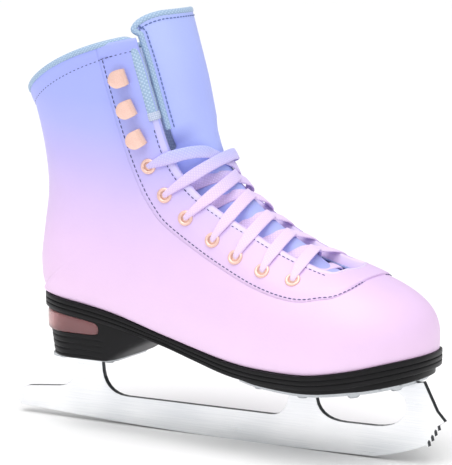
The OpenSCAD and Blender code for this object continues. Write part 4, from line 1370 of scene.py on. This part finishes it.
@dataclass
class Hardware:
    """Eyelets and lace hooks of rose-coloured metal."""

    eyelet_r: float = 4.4
    bore_r: float = 2.4
    barrel_t: float = 0.3
    hook_l: float = 11.0
    hook_w: float = 10.0
    hook_gap: float = 2.9
    sheet: float = 0.9
    rear_round: float = 5.0
    rivet_r: float = 2.2

    def flatten(self, share: float) -> None:
        """Scales the active object's mesh along Z."""
        bpy.ops.object.mode_set(mode="EDIT")
        bpy.ops.mesh.select_all(action="SELECT")
        bpy.ops.transform.resize(value=(1, 1, share))
        bpy.ops.object.mode_set(mode="OBJECT")

    def eyelet(self) -> bpy.types.Object:
        """One rolled eyelet with its barrel, made at the origin."""
        bpy.ops.object.select_all(action="DESELECT")
        major = (self.eyelet_r + self.bore_r) / 2
        minor = (self.eyelet_r - self.bore_r) / 2
        bpy.ops.mesh.primitive_torus_add(
            major_radius=major * MM, minor_radius=minor * MM, major_segments=48, minor_segments=14
        )
        ring = bpy.context.object
        self.flatten(0.9)
        bpy.ops.mesh.primitive_cylinder_add(
            vertices=48, radius=(self.bore_r + 0.35) * MM, depth=3 * MM, end_fill_type="NOTHING",
            location=(0, 0, -1.2 * MM),
        )  # fmt: skip
        barrel = bpy.context.object
        finish_with(barrel, "SOLIDIFY", thickness=self.barrel_t * MM, offset=-1)
        bpy.ops.mesh.primitive_cylinder_add(
            vertices=32, radius=(self.bore_r + 0.1) * MM, depth=0.4 * MM, location=(0, 0, 0.05 * MM)
        )
        mouth = bpy.context.object
        for obj in (ring, barrel, mouth):
            obj.data.materials.append(None)
            obj.data.materials.append(None)
        for face in mouth.data.polygons:
            face.material_index = 1
        select_only(ring)
        barrel.select_set(True)
        mouth.select_set(True)
        bpy.ops.object.join()
        ring.data.shade_smooth()
        return ring

    def hook(self) -> bpy.types.Object:
        """One stamped hook, made at the origin: base, bend on the throat side, flared lip."""
        bpy.ops.object.select_all(action="DESELECT")
        bpy.ops.mesh.primitive_grid_add(x_subdivisions=44, y_subdivisions=14, size=1)
        hook = bpy.context.object
        bend = (self.hook_gap + self.sheet) / 2
        straight = self.hook_l - bend - self.sheet
        arc = math.pi * bend
        total = 2 * straight + arc
        for vert in hook.data.vertices:
            u, w = vert.co.x + 0.5, vert.co.y * 2
            run = u * total
            lip = run > straight + arc
            t = run - straight - arc if lip else run
            if run < straight:
                x, z = -self.hook_l / 2 + run, 0.0
                rear = 1 - run / straight
            elif lip:
                x, z = -self.hook_l / 2 + straight - t, 2 * bend
                rear = t / straight
                z += 0.9 * max(rear - 0.45, 0) ** 1.5 - 0.35 * w * w * rear
            else:
                turn = (run - straight) / bend
                x = -self.hook_l / 2 + straight + bend * math.sin(turn)
                z = bend * (1 - math.cos(turn))
                rear = 0.0
            start = 1 - self.rear_round / straight
            narrow = max(rear - start, 0) / (1 - start)
            half = self.hook_w / 2 * math.sqrt(max(1 - narrow**2 * 0.995, 0.0))
            neck = 1 - 0.10 * math.sin(math.pi * min(max((run - straight + 1) / (arc + 2), 0), 1))
            vert.co = Vector((x, w * half * neck, z + self.sheet / 2)) * MM
        finish_with(hook, "SOLIDIFY", thickness=self.sheet * MM, offset=0)
        finish_with(hook, "BEVEL", width=0.22 * MM, segments=2, limit_method="ANGLE")
        merge_close(hook, outwards=True, gap=0.001)
        hook.data.shade_smooth()
        return hook

    def rivet(self) -> bpy.types.Object:
        """One domed rivet head with its shank, made at the origin."""
        bpy.ops.object.select_all(action="DESELECT")
        bpy.ops.mesh.primitive_uv_sphere_add(
            segments=24, ring_count=12, radius=self.rivet_r * MM
        )
        rivet = bpy.context.object
        self.flatten(0.4)
        return rivet

    def place(self, model: bpy.types.Object, name: str, at: Matrix) -> bpy.types.Object:
        """A copy of a model with its own mesh, placed in its mesh."""
        copy = model.copy()
        copy.data = model.data.copy()
        copy.name = name
        copy.matrix_world = Matrix.Identity(4)
        copy.data.transform(at)
        bpy.context.scene.collection.objects.link(copy)
        return copy

    def build(self) -> None:
        """Places every eyelet, hook and rivet."""
        eyelet, hook, rivet = self.eyelet(), self.hook(), self.rivet()
        slide = Matrix.Translation((-0.6 * MM, 0, 0.2 * MM))
        shift = Matrix.Translation((-0.5 * MM, 0, (self.sheet + 0.2) * MM))
        rivets = []
        for side in Side:
            word = side.name.lower()
            for k, (s, v) in enumerate(EYELETS, 1):
                at = seat(s, side, v, -LAYERS.facing - 0.15)
                piece = self.place(eyelet, f"eyelet_ring_{word}_{k}", at)
                keep(piece, [ROSE_METAL, DARK_HOLE], replaces=[f"eyelet_{word}_{k}"])
            for k, (s, v) in enumerate(HOOKS, 1):
                at = seat(s, side, v, -LAYERS.facing)
                piece = self.place(hook, f"lace_hook_{word}_{k}", at @ slide)
                keep(piece, ROSE_METAL, replaces=[f"hook_{word}_{k}"])
                rivets.append(self.place(rivet, "rivet", at @ shift))
        select_only(rivets[0])
        for piece in rivets:
            piece.select_set(True)
        bpy.ops.object.join()
        rivets[0].name = "hook_rivet_heads"
        keep(rivets[0], ROSE_METAL, replaces=["hook_rivets"])
        for model in (eyelet, hook, rivet):
            bpy.data.objects.remove(model)


@dataclass
class Lacing:
    """One flat lace through all the eyelets, crossing over the tongue.

    Each half starts under the bottom eyelets and climbs from side to side. Every strand is
    taut: it lies in one plane across the instep.
    """

    per_span: int = 6
    corners: int = 16
    wide: float = 7.0
    thick: float = 1.4
    stops: int = 9
    # Where each strand meets the far edge of the throat, as a row, from the top one down.
    over_rows: tuple = (6.9, 5.75, 4.5, 3.55, 2.7, 1.75)
    under_rows: tuple = (5.3, 5.9, 4.7, 3.6, 2.8, 1.95)
    grid: tuple = ()
    rim: float = 2.3
    low: float = -1.2
    deep: float = 4.5
    reach: float = 2.5
    nearest: int = 12

    def sample(self) -> None:
        """Samples the instep's surface and its normals once."""
        s, v = np.meshgrid(np.linspace(0, 9.5, 520), np.linspace(0.002, 0.46, 130), indexing="ij")
        at = [FORM.point(s, side, v).reshape(-1, 3) for side in Side]
        out = [FORM.normal(s, side, v).reshape(-1, 3) for side in Side]
        self.grid = (np.concatenate(at), np.concatenate(out))

    def taut(self, a: tuple, b: tuple, lift: Callable) -> list[tuple]:
        """A straight strand over the instep.

        Args:
            a: Row, side and v of its start.
            b: Row, side and v of its end.
            lift: Gives its middle's height over the leather at a share of its length.

        Returns:
            Point, normal, width and thickness at each stop between the two ends.
        """
        ends = [FORM.point(s, side, v) for s, side, v in (a, b)]
        outs = [FORM.normal(s, side, v) for s, side, v in (a, b)]
        along = ends[1] - ends[0]
        length = float(np.linalg.norm(along))
        along = along / length
        up = outs[0] + outs[1] + 2 * FORM.normal((a[0] + b[0]) / 2, a[1], 0.05)
        up = unit(up - along * np.dot(up, along))
        across = np.cross(up, along)
        local = (self.grid[0] - ends[0]) @ np.stack([along, across, up], axis=1)
        stops = []
        for t in np.linspace(0, 1, self.stops + 2)[1:-1]:
            off = np.hypot(local[:, 0] - t * length, local[:, 1])
            near = np.where((off < self.reach) & (local[:, 2] > -3), off, np.inf)
            close = np.argsort(near)[: self.nearest]
            weight = 1 / (off[close] + 0.1)
            high = float(np.average(local[close, 2], weights=weight))
            out = unit(np.average(self.grid[1][close], axis=0, weights=weight))
            at = ends[0] + along * t * length + up * high + out * lift(t)
            stops.append((at, out, self.wide, self.thick))
        return stops

    def through(self, k: int, side: Side, upwards: bool) -> list[tuple]:
        """The pinched lace in eyelet k, coming up through it or going down."""
        s, v = EYELETS[k]
        out = FORM.normal(s, side, v)
        at = FORM.point(s, side, v)
        rows = [(at - out * self.deep, out, 3.4, 2.6), (at + out, out, 3.2, 2.4)]
        return rows if upwards else rows[::-1]

    def hop(self, k: int, start: Side, end: Side) -> list[tuple]:
        """The lace from eyelet k to the next one up on the other side.

        Args:
            k: The eyelet's number, from 0 at the top.
            start: The side it starts on.
            end: The side it ends on.

        Returns:
            Point, normal, width and thickness at each of its points.
        """
        over = start is Side.OUTER
        s, v = EYELETS[k]
        goal_s, goal_v = EYELETS[k - 1]
        last = k == 1
        edge_s = (self.over_rows if over else self.under_rows)[k - 1]
        edge_v = float(FORM.throat_v(edge_s))
        ridge, rim = 0.6 if over else self.low, self.rim
        finish = rim if last else -(LAYERS.inside + self.thick / 2 + 0.5)

        def lift(t: float) -> float:
            first = rim + (ridge - rim) * float(smooth((t - 0.1) / 0.4))
            return first + (finish - first) * float(smooth((t - 0.62) / 0.36))

        if last and not over:
            # The top strand of this half lies under the other's and runs on over the facing.
            rows = self.taut((edge_s, start, edge_v), (goal_s, end, goal_v), self.low_lift)
            lead = self.dive(s, start, v, edge_s, edge_v, rim)
            return self.through(k, start, True) + lead + rows + self.ending(end)
        rows = self.taut((s, start, v), (edge_s, end, edge_v), lift)
        rows[0] = (*rows[0][:2], self.wide * 0.8, self.thick * 1.25)
        tail = self.dive(edge_s, end, edge_v, goal_s, goal_v, finish)
        return self.through(k, start, True) + rows + tail + (self.ending(end) if last else [])

    def ending(self, side: Side) -> list[tuple]:
        """The lace's end: in through the top eyelet and on to its tip."""
        rows = self.through(0, side, False)
        for s, v, wide in ((8.58, 0.375, 3.4), (8.75, 0.39, 3.2)):
            out = FORM.normal(s, side, v)
            under = LAYERS.inside + self.thick / 2 + 0.3
            rows.append((FORM.point(s, side, v) - out * under, out, wide, 2.0))
        return rows

    def low_lift(self, t: float) -> float:
        """Height of the lower top strand: down on the tongue, then over the near facing."""
        return self.low + 3.6 * float(smooth((t - 0.45) / 0.25))

    def dive(
        self, s: float, side: Side, v: float, to_s: float, to_v: float, lift: float
    ) -> list[tuple]:
        """Two points on the way between two places on one side, at one height.

        Args:
            s: Row of the first place.
            side: Which side of the boot.
            v: How far down the row it is.
            to_s: Row of the second place.
            to_v: How far down the row that one is.
            lift: Height over the leather, or less than 0 under it.

        Returns:
            Point, normal, width and thickness at both points.
        """
        rows = []
        for t in (0.3, 0.7):
            row, down = s + (to_s - s) * t, v + (to_v - v) * t
            out = FORM.normal(row, side, down)
            rows.append((FORM.point(row, side, down) + out * lift, out, self.wide * 0.92, self.thick))
        return rows

    def route(self) -> list[tuple]:
        """The whole lace, from one end to the other."""

        def half(start: Side, end: Side) -> list[tuple]:
            rows = []
            for k in range(len(EYELETS) - 1, 0, -1):
                rows += self.hop(k, start, end)
                start, end = end, start
            return rows

        under = -(LAYERS.inside + 1.2)
        bottom_v = EYELETS[-1][1]
        bar = self.dive(1.0, Side.INNER, bottom_v * 0.8, 0.95, 0.03, under)
        bar += self.dive(0.95, Side.OUTER, 0.03, 1.0, bottom_v * 0.8, under)
        return half(Side.INNER, Side.OUTER)[::-1] + bar + half(Side.OUTER, Side.INNER)

    def build(self) -> None:
        """Makes the lace and dresses its tips."""
        self.sample()
        rows = self.route()
        path = spline(np.array([at for at, *_ in rows]), self.per_span)
        up = unit(spline(np.array([out for _, out, *_ in rows]), self.per_span))
        size = spline(np.array([(w, t) for *_, w, t in rows]), self.per_span)
        wide, thick = np.maximum(size, 1.2).T / 2
        along = headings(path)
        across = unit(np.cross(along, up))
        for _ in range(6):
            across[1:-1] = unit(across[:-2] + 2 * across[1:-1] + across[2:])
        up = np.cross(across, along)
        x, y = oval_ring(wide, thick, 3.2, self.corners)
        lace = loft("lace_braid", ring_points(path, across, up, x, y))
        keep(lace, LACE, replaces=["lace"])
        LOG.info("lace: %.2f m through the eyelets", lengths(path)[-1] * MM)
        WARDROBE.dress_node("aglets", WINDOW)


# ------------------------------------------------------------------ sole, heel and blade


def slab(name: str, rings: Sequence[Array]) -> bpy.types.Object:
    """A solid whose outline is given at several heights, with faces across its two ends.

    Args:
        name: The piece's name.
        rings: For each height, the outer side's points and the inner side's, from the heel's
            end to the toe's, in the shape side, point, X, Y, Z.

    Returns:
        The solid.
    """
    n = rings[0].shape[1]
    loops = np.stack([np.concatenate([ring[0], ring[1][-2:0:-1]]) for ring in rings])
    count, m = loops.shape[:2]
    faces = list(ring_quads(count, m))
    for base in (0, (count - 1) * m):
        mirror = [base + (m - j) % m for j in range(n)]
        for j in range(n - 1):
            quad = [base + j, base + j + 1, mirror[j + 1], mirror[j]]
            faces.append(list(dict.fromkeys(quad)))
    obj = new_mesh(name, loops.reshape(-1, 3), faces)
    merge_close(obj, outwards=True, gap=0.01)
    smooth_by_angle(obj)
    return obj


@dataclass
class SoleUnit:
    """The black sole with two grooves round its edge, and the pad under the ball of the foot."""

    tread: tuple = (
        (-118, 70.5), (-97, 69.9), (-60, 64.5), (-24, 57), (1, 50.8), (24, 45.9),
        (45, 44), (74, 43.8), (99, 46.8), (119, 50.6), (133, 53.5),
    )  # fmt: skip
    edge: tuple = (
        (6, 0), (0.5, 0), (0.12, 0.02), (0, 0.06), (0, 0.27), (0.12, 0.3), (0.6, 0.315),
        (0.6, 0.36), (0.12, 0.375), (0, 0.40), (0, 0.60), (0.12, 0.625), (0.55, 0.64),
        (0.55, 0.68), (0.12, 0.695), (0.05, 0.72), (0.15, 0.93), (0.5, 0.985), (1.2, 1), (6, 1),
    )  # fmt: skip
    pad_edge: tuple = (
        (5, 0), (0.4, 0), (0.1, 0.08), (0, 0.2), (0, 0.78), (0.2, 0.92), (0.8, 1), (5, 1),
    )  # fmt: skip
    pad_half: tuple = ((20.5, 27.0), (24, 27.5), (40, 32.5), (70, 36.5), (96, 32.5))
    pad_turn: float = 96.0
    pad_nose: float = 31.5
    pad_corner: float = 9.0
    pad_t: float = 4.0

    def tread_z(self, x: Array) -> Array:
        """Height of the sole's bottom face."""
        return hermite(self.tread, x)

    def build(self) -> None:
        """Makes and dresses the sole and the pad."""
        ease = np.linspace(0, 1, 22)
        along = np.concatenate([ease, np.linspace(1, 2, 60)[1:], 2 + np.linspace(0, 1, 34)[1:]])
        rings = []
        for inset, share in self.edge:
            plan = np.stack([FORM.plan(along, side, inset) for side in Side])
            top, low = FORM.feather_z(plan[..., 0]), self.tread_z(plan[..., 0])
            rings.append(raised(plan, top + (low - top) * share))
        keep(slab("outsole_rubber", rings), SOLE_BLACK, replaces=["outsole"])
        rings = []
        for inset, share in self.pad_edge:
            plan = self.pad_plan(inset)
            rings.append(raised(plan, self.tread_z(plan[..., 0]) - self.pad_t * share))
        keep(slab("forepart_pad_rubber", rings), SOLE_BLACK, replaces=["forepart_pad"])

    def pad_plan(self, inset: float) -> Array:
        """Outline of the pad: side, point and X, Y."""
        start, turn = self.pad_half[0][0], self.pad_turn
        back = start + inset + self.pad_corner * (1 - np.cos(np.linspace(0, math.pi / 2, 10)))
        middle = np.linspace(back[-1], turn, 30)[1:]
        nose = turn + (self.pad_nose - inset) * np.sin(np.linspace(0, math.pi / 2, 30)[1:])
        x = np.concatenate([back, middle, nose])
        half = hermite(self.pad_half, np.minimum(x, turn)) - inset
        half = half * oval((back[-1] - np.minimum(x, back[-1])) / (back[-1] - back[0]), 3)
        half = half * oval((x - turn) / (self.pad_nose - inset) * (x > turn), 2.2)
        return np.stack([np.stack([x, side.value * half + FORM.lean(x)], axis=-1) for side in Side])


@dataclass
class HeelUnit:
    """The ribbed black heel with the clear rose band that wraps round its back."""

    bottom_z: float = 43.0
    inset: float = 1.5
    back_low_x: float = -107.0
    breast_high_x: float = -28.0
    breast_low_x: float = -58.0
    rib_z: tuple = (55.0, 51.6, 48.2, 44.9)
    rib_deep: float = 0.5
    rib_wide: float = 0.42
    rib_front: float = -62.0
    band_low: float = 57.5
    band_drop: float = 1.2
    band_front: float = -65.0
    gap: float = 0.15

    def outline(self, share: Array, side: Side) -> Array:
        """One height of the heel: points from its back end to its breast.

        Args:
            share: How far down it is, from 0 at the sole to 1 at the bottom.
            side: Which side.

        Returns:
            X, Y, Z in millimetres.
        """
        rear = 1 - np.cos(np.linspace(0, math.pi / 2, 40))[:-1]
        u = np.concatenate([0.9 * rear, 0.9 + 0.1 * np.sin(np.linspace(0, math.pi / 2, 20))])
        back = FORM.heel_x - FORM.heel_len + self.inset
        top_x = back + u * (self.breast_high_x - back)
        low_x = self.back_low_x + u * (self.breast_low_x - self.back_low_x)
        bend = 2 * share * (1 - share) * u**3
        x = top_x + (low_x - top_x) * share - 3 * bend
        top = SoleUnit().tread_z(top_x)
        z = top + (self.bottom_z - top) * share + bend
        plan_x = np.clip((x - x[0]) / (FORM.heel_x - x[0]), 0, None)
        half = self.heel_half(x, x[0], side)
        corner = oval(np.clip((u - 0.86) / 0.14, 0, 1), 3.2)
        rib = sum(np.exp(-(((z - level) / self.rib_wide) ** 2)) for level in self.rib_z)
        rib = rib * self.rib_deep * smooth((self.rib_front - x) / 6)
        half = (half - rib * (plan_x > 0)) * corner
        x = x + rib * (1 - np.clip(plan_x, 0, 1))
        return np.stack([x, side.value * np.maximum(half, 0), z], axis=-1)

    def heel_half(self, x: Array, start: float, side: Side) -> Array:
        """Half width of the heel at x, round towards its rearmost point."""
        straight = FORM.waist(np.maximum(x, FORM.heel_x), side) - self.inset
        back = np.clip((FORM.heel_x - x) / (FORM.heel_x - start), 0, 1)
        return straight * oval(back, FORM.plan_power)

    def band(self, name: str, near: float, far: float, gap: float, short: float) -> bpy.types.Object:
        """A bar that follows the heel's outline round its back.

        Args:
            name: The piece's name.
            near: Inset of its outer face.
            far: Inset of its inner face.
            gap: Room left above and below it in the recess.
            short: Room left at its two ends.

        Returns:
            The bar.
        """
        low, drop = self.band_low + gap, self.band_drop + gap
        reach = 1 + (self.band_front - short - FORM.heel_x) / (FORM.toe_x - FORM.heel_x)
        along = np.concatenate([np.linspace(reach, 1, 12), np.linspace(1, 0, 40)[1:]])
        ends = np.minimum(np.arange(len(along)) / 3, 1)
        size = oval(1 - ends, 2.5) * 0.92 + 0.08
        x, y = oval_ring(np.full(len(along), (far - near) / 2), np.ones(len(along)), 5, 28)
        halves = []
        for side in Side:
            plan = FORM.plan(along[:, None], side, (near + far) / 2 + x * size[:, None])
            top = SoleUnit().tread_z(FORM.plan(along, side, near)[:, 0]) - drop
            half = (top - low) / 2
            z = (low + half)[:, None] + y * (half * size)[:, None]
            halves.append(raised(plan, z))
        return loft(name, np.concatenate([halves[0], halves[1][-2::-1]]))

    def build(self) -> None:
        """Makes and dresses the heel, the clear band and the core behind it."""
        shares = np.unique(np.concatenate([[0, 0.01, 0.985, 1], np.linspace(0, 1, 90)]))
        rings = []
        for share in shares:
            # The lowest edge is rounded.
            tuck = 0.7 * smooth((share - 0.97) / 0.03)
            ring = np.stack([self.outline(share, side) for side in Side])
            ring[..., 1] -= np.sign(ring[..., 1]) * np.minimum(tuck, np.abs(ring[..., 1]))
            rings.append(ring)
        heel = slab("heel_block_rubber", rings)
        cutter = self.band("cutter", -1.5, 7.0, 0.0, 0.0)
        finish_with(heel, "BOOLEAN", object=cutter, operation="DIFFERENCE", solver="EXACT")
        bpy.data.objects.remove(cutter)
        merge_close(heel, gap=0.003)
        smooth_by_angle(heel)
        keep(heel, SOLE_BLACK, replaces=["heel_block"])
        gap = self.gap
        window = self.band("heel_window_clear", 1.35, 4.0, gap, gap)
        keep(window, WINDOW, replaces=["heel_window"])
        core = self.band("heel_core_foil", 4.4, 6.6, gap, 3 * gap)
        keep(core, WINDOW_CORE, replaces=["heel_core"])


@dataclass
class Running:
    """Blade, plates and screws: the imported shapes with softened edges."""

    blade_soft_mm: float = 0.18
    plate_soft_mm: float = 0.3

    def build(self) -> None:
        """Dresses the steel nodes."""
        WARDROBE.dress_node("blade_runner", BLADE_STEEL, self.blade_soft_mm)
        for node in ("sole_plate", "heel_plate"):
            WARDROBE.dress_node(node, PLATE_STEEL, self.plate_soft_mm)
        for node in ("sole_plate_screws", "heel_plate_screws", "shank"):
            WARDROBE.dress_node(node, PLATE_STEEL)


# ------------------------------------------------------------------ studio


@dataclass
class Studio:
    """Camera, plain pale floor and soft light."""

    azimuth: float = 30.0
    elevation: float = 9.0
    distance: float = 1.5
    target: tuple = (0.001678, 0.0, 0.118773)
    lens: float = 205.5
    lamps: tuple = (
        ("key", (-0.9, -1.5, 1.6), 1.4, 7.5),
        ("fill", (1.7, -0.7, 1.0), 1.6, 3.0),
        ("top", (0.0, 0.2, 2.2), 2.0, 8.0),
    )
    sun: float = 1.75
    sun_spread: float = 60.0
    sun_turn: tuple = (20.0, 10.0, 0.0)
    sky: float = 0.5

    def build(self) -> None:
        """Makes the whole studio."""
        az, el = math.radians(self.azimuth), math.radians(self.elevation)
        back = Vector((math.sin(az) * math.cos(el), -math.cos(az) * math.cos(el), math.sin(el)))
        data = bpy.data.cameras.new("camera")
        data.lens = self.lens
        data.sensor_width = 36.0
        data.clip_end = 20.0
        camera = self.link("camera", data)
        camera.location = Vector(self.target) + back * self.distance
        camera.rotation_euler = back.to_track_quat("Z", "Y").to_euler()
        bpy.context.scene.camera = camera
        bpy.context.scene.view_settings.view_transform = "Standard"
        self.floor()
        for lamp in self.lamps:
            self.light(*lamp)
        data = bpy.data.lights.new("sun", "SUN")
        data.energy = self.sun
        data.angle = math.radians(self.sun_spread)
        self.link("sun", data).rotation_euler = [math.radians(a) for a in self.sun_turn]
        world = bpy.data.worlds.new("world")
        world.use_nodes = True
        sky = world.node_tree.nodes["Background"].inputs
        sky["Color"].default_value = linear("#ffffff")
        sky["Strength"].default_value = self.sky
        bpy.context.scene.world = world

    def link(self, name: str, data: bpy.types.ID) -> bpy.types.Object:
        """Puts a camera or a light in the scene."""
        obj = bpy.data.objects.new(name, data)
        bpy.context.scene.collection.objects.link(obj)
        return obj

    def floor(self) -> None:
        """The pale floor."""
        bpy.ops.object.select_all(action="DESELECT")
        bpy.ops.mesh.primitive_plane_add(size=30)
        floor = bpy.context.object
        floor.name = "floor"
        made = Recipe("floor")
        floor.data.materials.append(made.done(Base_Color=linear("#ffffff"), Roughness=0.9))

    def light(self, name: str, place: tuple, size: float, power: float) -> None:
        """One square soft light, aimed at the boot.

        Args:
            name: Its name.
            place: Its position in metres.
            size: Its edge length in metres.
            power: Its power in watts.
        """
        data = bpy.data.lights.new(name, "AREA")
        data.energy = power
        data.size = size
        lamp = self.link(name, data)
        lamp.location = place
        away = Vector(place) - Vector(self.target)
        lamp.rotation_euler = away.to_track_quat("Z", "Y").to_euler()


def main() -> None:
    """Builds the scene round the frame."""
    logging.basicConfig(level=logging.INFO, format="%(name)s: %(message)s")
    for part in (Studio, Running, SoleUnit, HeelUnit, BootUpper, Tongue, Hardware, Lacing):
        part().build()


if __name__ == "__main__":
    main()
